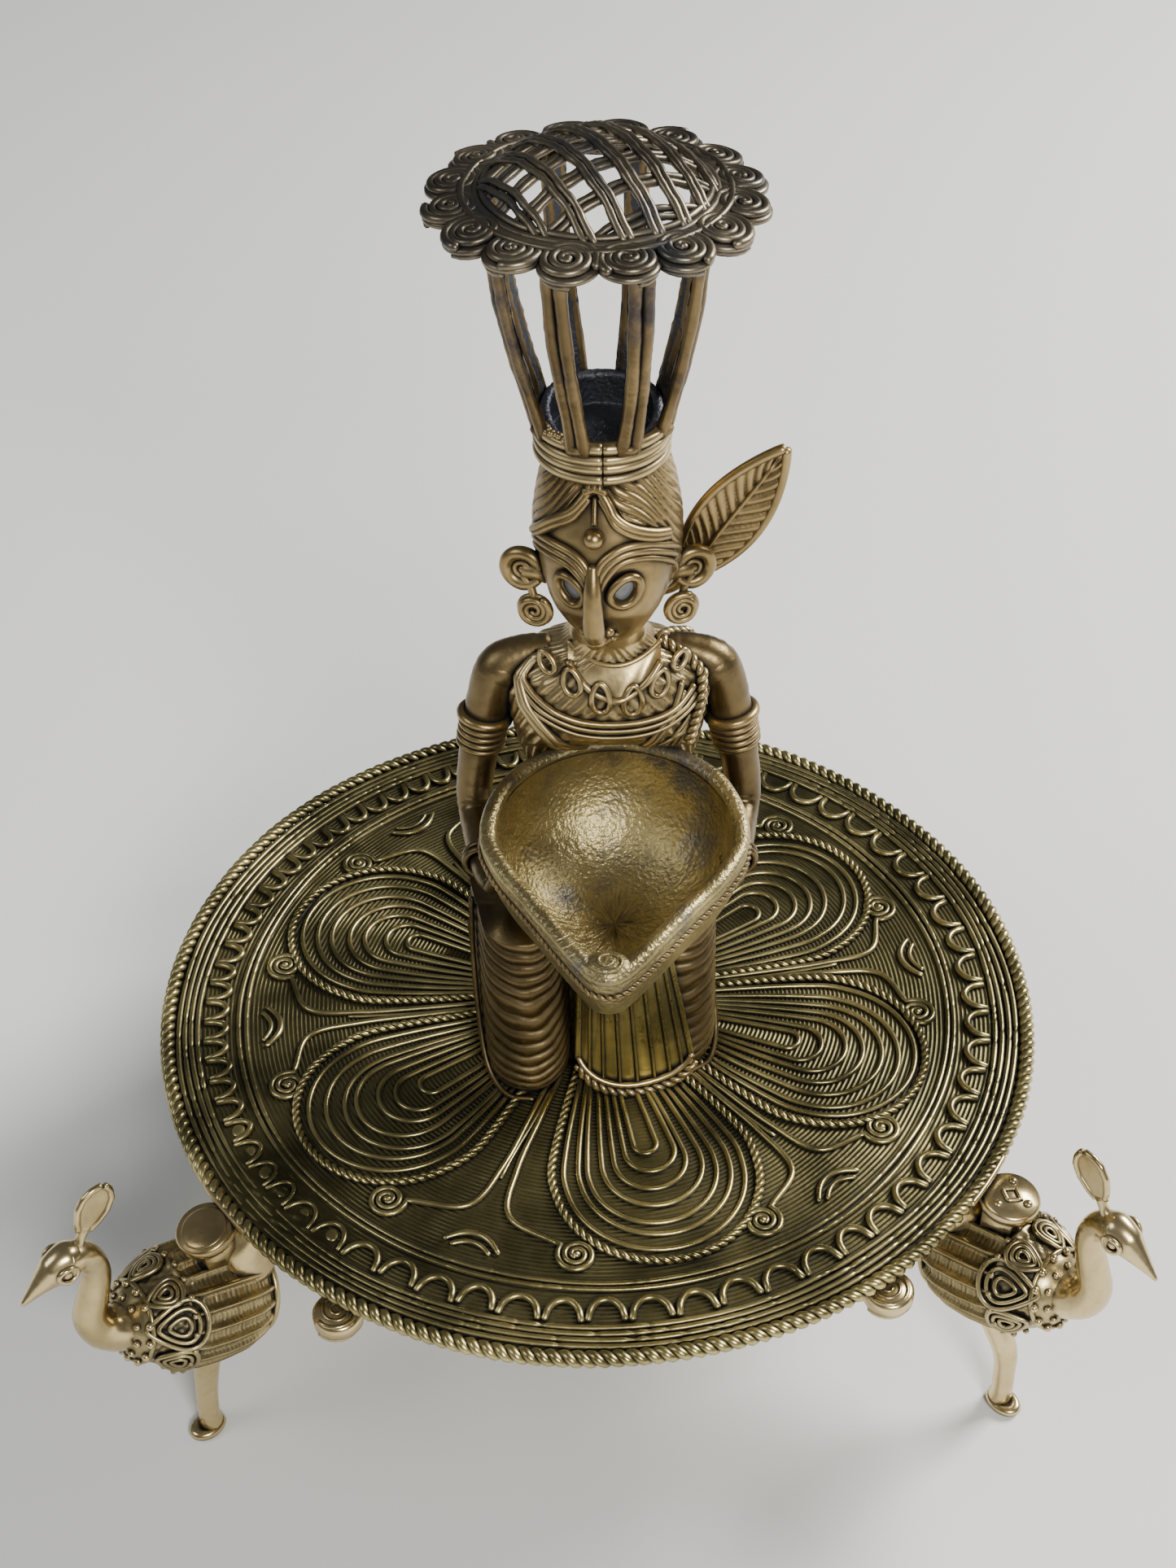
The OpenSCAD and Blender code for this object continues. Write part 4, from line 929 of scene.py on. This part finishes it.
brow = Piece("brow_ornament")
STRIP = (20.5, 17.6, 15.6)
for dx in (-4.2, 4.2):
    brow.add(head_line([(-11 + dx, h) for h in STRIP], 0.8, 1.5, 6))
brow.add(head_line([(-11, h) for h in STRIP], 1.3, 1.0, 6))
brow.add(head_line([(-19, 15.3), (-11, 15.9), (-2, 15.3)], 0.95, 1.3))
for k, (r, o) in enumerate(((0.95, 0.0), (0.75, -1.35))):
    left = [(-6, 15.4 + o), (0, 13.0 + o), (5, 10.6 + o), (16, 8.6 + o * 0.9), (34, 7.2 + o * 0.8),
            (52, 6.6 + o * 0.7)]
    right = [(-16, 15.4 + o), (-22, 13.4 + o), (-30, 11.4 + o), (-46, 9.4 + o * 0.9), (-64, 7.0 + o * 0.8),
             (-76, 5.8 + o * 0.7)]
    brow.add(head_line(left, r, 1.0 - 0.2 * k, 9), head_line(right, r, 1.0 - 0.2 * k, 9))
brow.add(ball(on_head(-11, 6.6, 0.9), 1.95, seg=20))
brow.add(head_line([(-11, 14.2), (-11, 11.4), (-11, 9.2)], 0.6, 0.3, 6, 7))
brow.build(WARM, "warm_brass", "brow_ornament")

ears, earrings = Piece("ears"), Piece("earrings")
_, _, EAR = node_box("ears")
for s in (-1, 1):
    ears.matrix, ears.at = rot("z", 20 * s) @ rot("x", 90), np.array([FX + s * 16.3, EAR[1], EAR[2]])
    t = np.radians(np.linspace(-150, 175, 40))
    width = spread(40, [0, 0.2, 0.9, 1], [0.9, 1.5, 1.35, 0.9])
    ears.add(tube(level_ring(t, 3.55, 0.0) * (s, 1, 1), width, 12))
    ears.add(tube(level_ring(full_turn(24), 1.55, 0.3, -0.1), 0.62, 8, True))
    ears.add(ball((0, 0, 0.35), 0.95, (1, 1, 0.8), 12))
    ears.add(lathe([(0.01, -0.7), (3.2, -0.7), (3.2, 0.1), (0.01, 0.1)], 28))
    earrings.matrix, earrings.at = rot("z", 15 * s) @ rot("x", 90), np.array([FX + s * 14.3, -5.0, 114.1])
    coil = spiral(3.35, 0.55, 2.6, 60, 22, s, 0.5)
    earrings.add(tube(coil, np.linspace(0.85, 0.5, len(coil))))
    earrings.add(lathe([(0.01, -0.8), (3.3, -0.8), (3.7, -0.2), (3.4, 0.3), (0.01, 0.2)], 30))


def middles(piece):
    """The middle of a piece's left and right halves."""
    halves = ([v.mean(0) for v in piece.v if s * (v[:, 0].mean() - FX) > 0] for s in (-1, 1))
    return [np.mean(half, 0) for half in halves]


# short links hold the ears to the head and the rings to the ears
pairs = list(zip((-1, 1), middles(ears), middles(earrings)))
ears.matrix = earrings.matrix = None
for s, e, q in pairs:
    ears.add(tube([e, e - (s * 2.2, 0, 0.3), e - (s * 4.6, 0, 0.6)], [1.6, 2.0, 2.6], 16))
    link = smooth([e - (0, 0, 1.5), (e + q) / 2 - (s * 0.5, 0, 0), q + (0, 0, 1.5)], 6)
    earrings.add(tube(link, 0.85, 10))
ears.build(WARM, "warm_brass", "ears")
earrings.build(WARM, "warm_brass", "earrings")

# leaf in the hair: midrib, veins that sweep to the tip and a raised edge
LEAF_L = 35


def leaf_half(u):
    return 6.25 * np.sin(math.pi * np.clip(u, 0, 1) ** 0.92) ** 0.85 + 0.15


leaf = Piece("hair_leaf", rot("x", 90) @ rot("z", 57), np.array([FX + 14.5, 3.0, 115.64]))
u, w = np.meshgrid(ramp(130), np.linspace(-1, 1, 61), indexing="ij")
vein = np.abs(np.sin(math.pi * (u * 12.5 - np.abs(w) * 2.6 * (1 - 0.3 * u)))) ** 0.5
thick = 0.62 + 0.62 * vein * (1 - 0.5 * np.abs(w) ** 4) + 0.5 * np.exp(-(w / 0.07) ** 2) - 0.25
for side in (1, -1):
    leaf.add(grid(np.stack([LEAF_L * u, leaf_half(u) * w, side * thick + 0.4 * np.abs(w)], 2)))
u = ramp(70)
for s in (-1, 1):
    leaf.add(tube(np.stack([LEAF_L * u, s * leaf_half(u), np.full(70, 0.4)], 1), 0.85 + 0.25 * u))
leaf.add(tube([(0, 0, 0.9), (12, 0.1, 1.1), (24, 0, 1.1), (34.6, 0, 0.7)], [0.8, 0.55, 0.45, 0.4]))
leaf.add(tube(smooth([(-4.5, 1.5, -0.5), (-2, 0.3, 0), (1, 0, 0.2)], 5), 1.5, 10))
leaf.build(WARM, "warm_brass", "hair_leaf")


# ---------------------------------------------------------------- basket and canopy

CX = node_box("basket_collar")[2][0]
CZ = node_box("basket_collar")[0][2]
collar = Piece("basket_collar", np.eye(3), (CX, 0, 0))
for i in range(4):
    a = np.radians(np.linspace(-89.0, 269.0, 110))
    z = CZ + 1.1 + 2.1 * i + 0.25 * math.sin(i * 2.1) * np.cos(a + i)
    collar.add(tube(level_ring(a, 11.9 + 0.1 * np.sin(3 * a + i), z), 1.12, 14))
for k in range(12):
    t = math.radians(205 + 3.2 * k)
    at = (12.2 * math.cos(t), 12.2 * math.sin(t), CZ + 8.6 + 0.5 * math.sin(k * 1.9))
    collar.add(ball(at, 0.75 + 0.2 * math.sin(k * 2.7), (1, 1, 0.8), 10))
collar.build(GOLD, "polished_brass", "basket_collar")

# cup: its rough wall is lower in front
profile = [(0.05, 149.2), (11.0, 149.2), (11.35, 149.6), (11.35, 157.2), (11.0, 157.8), (9.9, 157.8),
           (9.5, 157.2)]
profile += [(9.5, 157.2 - k) for k in np.linspace(0.4, 5.8, 14)]
profile += [(r, 151.2) for r in np.linspace(9.2, 0.05, 14)]
v, faces = lathe(profile, 120, (CX, 0, 0))
v = v + np.random.default_rng(8).normal(0, 0.05, v.shape) * (np.hypot(v[:, 0] - CX, v[:, 1]) > 0.5)[:, None]
v[:, 2] -= np.clip(v[:, 2] - 152, 0, None) * np.clip((4.0 - v[:, 1]) / 18.0, 0, 0.75)
Piece("basket_cup").add((v, faces)).build(BLUE, "dark_bronze", "basket_cup")

ring_low, _, ring_mid = node_box("canopy_ring")
CANOPY = np.array([ring_mid[0], ring_mid[1], ring_low[2]])
bars, backs = Piece("basket_bars"), Piece("bar_backs")
t = ramp(46)
for k in range(8):
    az = math.radians(22.5 + 45 * k - 90)
    out = np.array([math.cos(az), math.sin(az), 0.0])
    tan = np.array([-out[1], out[0], 0.0])
    foot = (CX, 0, 153.6) + 12.1 * out
    top = CANOPY + (0, 0, 0.8) + 19.55 * out
    g = np.random.default_rng(40 + k)
    line = foot + (top - foot) * t[:, None] + out * (1.5 * np.sin(math.pi * t ** 1.15))[:, None] \
        + tan * (0.25 * np.sin(t * 5 + k))[:, None]
    for s in (-1, 1):
        path = line + tan * (s * 1.12 + 0.1 * np.sin(t * 9 + s + k))[:, None]
        bars.add(tube(path, 1.22 * (1 + 0.05 * np.sin(t * 23 + k) + 0.03 * g.standard_normal(46)), 12))
    strip = [line + tan * o - out * (0.85 + 0.35 * math.cos(o * 0.7) + g.normal(0, 0.07, 46))[:, None]
             for o in (-2.15, -1.2, 0, 1.2, 2.15)]
    backs.add(grid(np.stack(strip, 0)))
    # a small fillet of solder at the foot and at the head
    bars.add(ball(foot + (0, 0, 0.8), 1.9, (1.1, 1.1, 0.7), 12))
    bars.add(ball(top - (0, 0, 0.6), 2.0, (1.1, 1.1, 0.6), 12))
bars.build(BRONZE, "warm_brass", "basket_bars")
backs.build(BLUE, "dark_bronze")

edge_ring = Piece("canopy_ring", np.eye(3), CANOPY)
edge_ring.add(lathe([(19.4, 0.3), (19.4, 2.3), (19.9, 2.6), (22.9, 2.6), (23.3, 2.2), (23.3, 0.3), (22.9, 0),
                     (19.8, 0)], 150, close=True))
a = full_turn(200)
for r, z, q in ((22.9, 2.3, 0.7), (20.4, -0.1, 0.7), (22.6, -0.1, 0.7)):
    w = 0.08 * np.sin(a * 7 + r) + 0.05 * np.sin(a * 19)
    edge_ring.add(tube(level_ring(a, r + w, z + w), q, 8, True))
edge_ring.build(DARK, "dark_bronze", "canopy_ring")

rosettes = Piece("canopy_rosettes")
for i in range(16):
    az = (i + 0.5) * 22.5
    g = np.random.default_rng(70 + i)
    hand = 1 if i % 3 else -1
    coil = spiral(4.75, 0.65, 2.9 + g.uniform(-0.2, 0.2), g.uniform(0, 360), 24, hand)
    coil[:, 2] = 0.7 + 0.5 * ramp(len(coil)) + 0.08 * np.sin(np.arange(len(coil)) * 0.4)
    rosettes.matrix = rot("z", az) @ rot("y", 7 + g.uniform(-3, 3))
    rosettes.at = CANOPY + rot("z", az) @ (24.7, 0, 0.9)
    rosettes.add(tube(coil, np.linspace(0.86, 0.68, len(coil))), ball((0, 0, 1.1), 0.9, (1, 1, 0.8), 10))
    rosettes.add(lathe([(0.02, -0.9), (4.6, -0.9), (5.3, -0.4), (5.25, 0.3), (4.6, 0.5), (0.02, 0.6)], 36))
    rosettes.add(tube(spiral(4.7, 0.8, 2.4, 10, 20, -hand, -1.0), 0.62, 7))
rosettes.build(DARK, "dark_bronze", "canopy_rosettes")

# dome: two layers of double wires on a ball's cap
DOME_R, DOME_H, BALL_R = 20.9, 9.5, 27.74
WIRE_PITCH = 5.6
dome = Piece("canopy_dome", np.eye(3), (CANOPY[0], CANOPY[1], node_box("canopy_dome")[0][2]))


def dome_wire(layer, off, k):
    half = math.sqrt((DOME_R - 0.4) ** 2 - off ** 2)
    s = np.linspace(-half, half, int(half * 2.2))
    across = off + 0.12 * np.sin(s * 0.8 + k * 1.7 + layer)
    x, y = (across, s) if layer else (s, across)
    lift = 0.55 if layer else -0.25
    z = np.sqrt(BALL_R ** 2 - x ** 2 - y ** 2) - (BALL_R - DOME_H) - 0.95 + lift
    return np.stack([x, y, np.maximum(z, -0.2)], 1) @ rot("z", 30).T


for layer in (0, 1):
    for k in range(-3, 4):
        for o in (-0.62, 0.62):
            path = dome_wire(layer, k * WIRE_PITCH + o, k)
            i = np.arange(len(path))
            dome.add(tube(path, 0.72 * (1 + 0.10 * np.sin(i * 1.9 + k) + 0.06 * np.sin(i * 0.7))))
for r, z, q in ((20.4, 0.2, 0.85), (19.3, 1.0, 0.75)):
    dome.add(tube(level_ring(a, r, z + 0.1 * np.sin(a * 9)), q, 8, True))
dome.build(DARK, "dark_bronze", "canopy_dome")


# ---------------------------------------------------------------- peacocks

LEFT, RIGHT, BACK = -52, 56, 180
BODY = np.array([12.0, 0, -20.75])
BODY_TILT = rot("y", 70)
# the body's radius along its length, from the tail end to the breast
BODY_R = np.array([(-18.0, 0.4), (-17.6, 8.3), (-15.1, 11.6), (-10.8, 13.2), (-4.3, 13.75), (2.2, 13.5),
                   (7.2, 12.1), (11.9, 9.6), (15.5, 6.3), (18.0, 0.4)])


def rim_frame(az):
    m = rot("z", az - 90)
    return m, m @ (round(PLATE_R, 1), 0, 0)


def bird_frame(az):
    """The right bird looks round to the front; the others stand square to the rim."""
    m, t = rim_frame(az)
    if az != RIGHT:
        return m, t
    m = m @ rot("z", -14)
    return m, t + m @ (-4.0, 0, 0)


def body_r(s):
    return sum(np.interp(s + d, BODY_R[:, 0], BODY_R[:, 1]) for d in (-1.2, -0.6, 0, 0.6, 1.2)) / 5


def on_body(phi, s, lift=0.0):
    """A point of the body's skin; phi turns from the top, s runs from the tail end to the breast."""
    phi, s = np.broadcast_arrays(np.radians(np.asarray(phi, float)), np.asarray(s, float))
    r = body_r(s) + lift
    return np.stack([-r * np.cos(phi), r * np.sin(phi), s], -1) @ BODY_TILT.T + BODY


def bird_body(az, name):
    """Long ribs with fine cross cuts between them, and a smoother breast."""
    s = np.concatenate([[-18, -17.8], np.arange(-17.4, 17.5, 0.36), [17.8, 18.0]])
    P, S = np.meshgrid(np.arange(-180, 180, 1.6), s, indexing="ij")
    ribbed_part = np.clip((5.4 - S) / 1.0, 0, 1) * np.clip((S + 16.3) / 1.2, 0, 1)
    ridge = np.exp(-(np.radians((P + 9) % 18 - 9) * body_r(S) / 0.68) ** 2)
    cut = np.abs(np.sin(math.pi * S / 0.98 + np.radians(P) * 0.8))
    lift = ribbed_part * (1.65 * ridge - 1.35 + 0.42 * cut * (1 - ridge)) - 0.15
    breast = np.clip((S - 5.4) / 1, 0, 1) * np.clip((13 - S) / 2, 0, 1)
    lift = lift + breast * (-0.75 + 0.22 * np.sin(P * 0.5) * np.sin(S * 2.2))
    b = Piece(name + "_body", *bird_frame(az)).add(grid(on_body(P, S, lift), wrap_u=True))
    round_body = np.arange(-180, 180, 5.0)
    for s0, lift, r in ((-16.2, 0.2, 0.75), (13.0, 0.0, 0.6)):
        b.add(tube(on_body(round_body, s0, lift), r, 8, True))
    for k in range(20):
        b.add(ball(on_body(k * 18.0, 5.4, 0.35), 0.75, seg=10))
    b.build(BIRD, "polished_brass", name + "_body")


def bird_wings(az, name):
    """Nested loops near the breast."""
    w = Piece(name + "_wings", *bird_frame(az))
    u = full_turn(30)
    for sd in (-1, 1):
        for c_phi, c_s, scale in ((62, 8.4, 1.45), (108, 7.8, 1.0), (24, 9.6, 0.85)):
            for q, r in ((1.0, 0.62), (0.68, 0.55), (0.36, 0.5)):
                rr = 3.9 * q * scale
                phi = c_phi + np.degrees(rr * 0.72 * np.sin(u) * (1.15 - 0.4 * np.cos(u)) / 11.0)
                w.add(tube(on_body(sd * phi, c_s + rr * np.cos(u), 0.1 + 0.15 * (1 - q)), r, 7, True))
    w.build(BIRD, "polished_brass", name + "_wings")


def bird_neck(az, name):
    """Curved neck, head with a long beak, ringed eyes, and beads where the neck leaves the breast."""
    nk = Piece(name + "_neck", *bird_frame(az))
    line = ((19, -17.5), (25.5, -16.2), (30.6, -12.6), (32.4, -7.2), (30.8, -1.4), (29.2, 3.8), (29.4, 8.6),
            (31.4, 12.0), (34.4, 13.0))
    path = smooth([(x, 0, z) for x, z in line], 9)
    nk.add(tube(path, spread(len(path), [0, 0.14, 0.3, 0.42, 0.58, 0.75, 0.88, 1],
                             [6.4, 5.4, 4.1, 3.5, 3.1, 2.9, 3.2, 3.9]), 22))
    line = ((32.0, 12.6), (35.0, 12.8), (38.6, 11.2), (42.0, 9.2), (45.0, 7.3))
    beak = smooth([(x, 0, z) for x, z in line], 8)
    v, f = tube(beak, spread(len(beak), [0, 0.18, 0.4, 0.6, 0.8, 1], [3.6, 4.3, 3.8, 2.5, 1.4, 0.5]), 20)
    nk.add((v * (1, 0.86, 1), f))
    u = np.linspace(0, TAU, 26, endpoint=False)
    for sd in (-1, 1):
        c = np.array([35.6, sd * 3.35, 12.6])
        eye = c + np.stack([2.0 * np.cos(u), sd * 0.35 * (1 - np.abs(np.cos(u))), 1.75 * np.sin(u)], 1)
        nk.add(tube(eye, 0.55, 8, True), ball(c + (0.1, -sd * 0.2, 0), 1.15, (1, 0.7, 1), 12))
        nk.add(tube([(37.5, sd * 2.6, 10.6), (41, sd * 1.5, 9.2), (44, sd * 0.5, 7.8)], 0.18, 6))
    for ring, (s0, count, r) in enumerate(((13.6, 13, 1.0), (15.4, 10, 0.8))):
        for k in range(count):
            nk.add(ball(on_body(360 / count * (k + 0.5 * ring), s0, 0.3), r, seg=10))
    nk.build(BRIGHT, "polished_brass", name + "_neck")


def bird_crest(az, name):
    """A spoon on a short stem, dished on both sides, with a raised edge."""
    crest = Piece(name + "_crest", *bird_frame(az))
    length = 15.2
    base = np.array([31.6, 0, 14.8])
    up_d = np.array([math.cos(math.radians(122)), 0, math.sin(math.radians(122))])
    side_d = np.array([-up_d[2], 0, up_d[0]])
    u = ramp(40)
    half = np.interp(u, [0, 0.12, 0.26, 0.4, 0.6, 0.8, 0.92, 1], [1.5, 0.9, 1.1, 2.4, 3.45, 3.3, 2.2, 0.4])
    thick = np.interp(u, [0, 0.2, 0.4, 0.7, 1], [1.3, 0.95, 0.75, 0.7, 0.4])
    rows = []
    for q, wide, deep in zip(u, half, thick):
        row = []
        for a in full_turn(24):
            x, y = wide * math.cos(a), deep * math.sin(a)
            dish = 0.45 * (1 - (x / max(wide, 0.1)) ** 2) * (q > 0.3)
            y = y - math.copysign(dish, y) if abs(y) > dish else 0.12 * math.copysign(1, y or 1)
            row.append(base + up_d * (length * q) + side_d * x + np.array([0, y, 0]))
        rows.append(row)
    crest.add(grid(np.array(rows), wrap_v=True))
    part = np.linspace(0.28, 1, 26)
    for sd in (-1, 1):
        rim = [base + up_d * (length * q) + side_d * (sd * h) for q, h in zip(part, np.interp(part, u, half))]
        crest.add(tube(rim, 0.72))
    crest.build(BRIGHT, "polished_brass", name + "_crest")


def bird_leg(az, name):
    """The leg flares into a hollow toe over a round pad."""
    foot = 17.0 if az == RIGHT else 13.0
    leg = Piece(name + "_leg", *bird_frame(az))
    line = ((8.2, -30), (9.2, -38), (foot - 2.2, -48), (foot - 1.2, -57), (foot - 1.0, -63),
            (foot - 1.8, -65.6))
    path = smooth([(x, 0, z) for x, z in line], 8)
    leg.add(tube(path, spread(len(path), [0, 0.2, 0.5, 0.75, 0.9, 1], [4.4, 3.3, 2.5, 2.4, 2.7, 2.0]), 18))
    v, f = lathe([(0.02, -67), (3.3, -67), (4.1, -66.6), (4.4, -65.8), (3.9, -64.9), (2.6, -64.7),
                  (1.6, -65.4), (0.02, -65.8)], 40)
    leg.add((v * (1, 0.74, 1) + (foot, 0, 0), f))
    leg.build(BRIGHT, "polished_brass", name + "_leg")


def bird_tail(az, name):
    """A fan under the plate with spokes and coiled eyes, and the body's root that carries it."""
    twist = {RIGHT: 6, LEFT: -6}.get(az, 0)
    shift = {RIGHT: 4, LEFT: -4}.get(az, 0)
    m, t = rim_frame(az - shift)
    fan = Piece(name + "_tail", m @ rot("z", twist), t + m @ (-7.5, 0, -8.5))
    A, R = np.meshgrid(np.radians(np.linspace(92, 268, 60)), np.linspace(3, 25.5, 20), indexing="ij")
    low = np.stack([R * np.cos(A), R * np.sin(A), 2.3 - 0.5 * np.abs(np.sin(A * 12)) ** 0.6], 2)
    fan.add(grid(low), grid(low * (1, 1, 0) + (0, 0, 4.35)))
    for k in range(7):
        a = math.radians(90 + 30 * k)
        c = np.array([23 * math.cos(a), 26 * math.sin(a), 0])
        fan.add(lathe([(0.02, 0.4), (4.4, 0.4), (5.2, 1.2), (5.2, 3.6), (4.6, 4.35), (0.02, 4.35)], 36, c))
        coil = spiral(4.5, 0.6, 2.4, 40 * k, 22, 1)
        fan.add(tube(coil + c + (0, 0, 0.35), 0.7, 7), tube(coil + c + (0, 0, 4.2), 0.45, 7))
    fan.matrix, fan.at = bird_frame(az)
    root = smooth([(-6, 0, -6.0), (-2.5, 0, -11.0), (-1.5, 0, -17.0)], 7)
    fan.add(tube(root, np.linspace(5.6, 8.0, len(root)), 22))
    fan.build(BRIGHT, "polished_brass", name + "_tail")


def rim_tab(az, name):
    """The tab and lug brazed on the rim."""
    tab = Piece(name, *rim_frame(az))
    slope = rot("y", 13 if az == LEFT else 5)
    disc = lathe([(0.02, -2.6), (5.9, -2.6), (6.3, -2.1), (6.3, -0.4), (5.8, 0.25), (0.02, 0.5)], 48)
    tab.add(turned(disc, slope, (4.8, 0, -0.9)))
    if az == RIGHT:
        for x, y in ((8.6, 0), (3.4, 3.6), (3.4, -3.6)):
            tab.add(ball((x, y, -0.4 - 0.05 * x), 1.0, (1, 1, 0.7), 12))
        lozenge = [(7.0, 0, -0.5), (4.8, 1.9, -0.3), (2.6, 0, -0.1), (4.8, -1.9, -0.3)]
        tab.add(tube(resample(lozenge, 0.5, True), 0.5, 7, True))
    else:
        tab.add(turned(ball((0, 0, 0), 5.0, (1, 1, 0.14), 24), slope, (4.9, 0.3, -0.5)))
    lug = [(x, y, z) for x in (0.6, 7.2) for y in (-4.4, 4.4) for z in (-12.6, -3.2)]
    tab.add((lug, [(0, 1, 3, 2), (4, 6, 7, 5), (0, 4, 5, 1), (2, 3, 7, 6), (0, 2, 6, 4), (1, 5, 7, 3)]))
    tab.matrix = None
    tab.add(tube(polar(99.4, az + np.linspace(-4.4, 4.4, 22), 0.6), 0.75, 7))
    tab.build(GOLD if az == LEFT else BRIGHT, "polished_brass", name)


for az, side in ((LEFT, "left"), (RIGHT, "right"), (BACK, "back")):
    for part in (bird_body, bird_wings, bird_neck, bird_crest, bird_leg, bird_tail):
        part(az, side + "_bird")
    rim_tab(az, side + "_rim_tab")

# the stud and nut stay as they are under the plate and get the same brass
for ob in list(bpy.data.objects):
    if ob.type == "MESH" and any(k in ob.name for k in ("centre_stud", "stud_nut")):
        if not len(ob.data.materials):
            ob.data.materials.append(BRIGHT)
        for slot in ob.material_slots:
            slot.material = BRIGHT


# ---------------------------------------------------------------- floor, light and camera

def floor():
    m, t = nodes_of("pale_floor")
    out = t.nodes.new("ShaderNodeOutputMaterial")
    sh = t.nodes.new("ShaderNodeBsdfPrincipled")
    sh.inputs["Base Color"].default_value = (0.95, 0.95, 0.935, 1)
    sh.inputs["Roughness"].default_value = 0.9
    t.links.new(sh.outputs[0], out.inputs[0])
    s = 3.0
    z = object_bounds()[0][2]
    mesh = bpy.data.meshes.new("floor")
    mesh.from_pydata([(-s, -s, z), (s, -s, z), (s, s, z), (-s, s, z)], [], [(0, 1, 2, 3)])
    mesh.materials.append(m)
    ob = bpy.data.objects.new("floor", mesh)
    bpy.context.scene.collection.objects.link(ob)
    ob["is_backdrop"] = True


def area(name, at, look, size, power, colour):
    d = bpy.data.lights.new(name, "AREA")
    d.shape = "RECTANGLE"
    d.size, d.size_y = size
    d.energy = power
    d.color = colour
    ob = bpy.data.objects.new(name, d)
    bpy.context.scene.collection.objects.link(ob)
    ob.location = at
    ob.rotation_euler = (Vector(look) - Vector(at)).to_track_quat("-Z", "Y").to_euler()


floor()
world = bpy.data.worlds.new("studio")
bpy.context.scene.world = world
world.use_nodes = True
sky = world.node_tree.nodes["Background"]
sky.inputs[0].default_value = (0.92, 0.96, 1.0, 1)
sky.inputs[1].default_value = 0.14
area("window", (1.05, 0.55, 0.95), (0, 0, 0.1), (0.6, 0.5), 31, (1.0, 0.985, 0.96))
area("fill", (-0.9, -0.35, 0.9), (0, 0, 0.1), (0.5, 0.5), 3, (0.95, 0.98, 1.0))
area("front", (0.35, -1.05, 0.85), (0, -0.1, 0.05), (0.4, 0.3), 13, (1.0, 0.98, 0.94))

# The camera looks down at the lamp from the front
PITCH, ROLL = math.radians(40.74), math.radians(-0.66)
back = np.array([0.0, -math.cos(PITCH), math.sin(PITCH)])
right = np.array([1.0, 0, 0])
above = np.cross(back, right)
axes = (math.cos(ROLL) * right + math.sin(ROLL) * above, math.cos(ROLL) * above - math.sin(ROLL) * right,
        back, ORIGIN + np.array([-1.32, -348.57, 364.84]) / 1000)
cam = bpy.data.cameras.new("camera")
cam.sensor_fit = "AUTO"
cam.sensor_width = 36
cam.lens = 49.94
cam.clip_start = 0.01
cam_ob = bpy.data.objects.new("camera", cam)
bpy.context.scene.collection.objects.link(cam_ob)
cam_ob.matrix_world = Matrix([[axis[i] for axis in axes] for i in range(3)] + [[0, 0, 0, 1]])
bpy.context.scene.camera = cam_ob
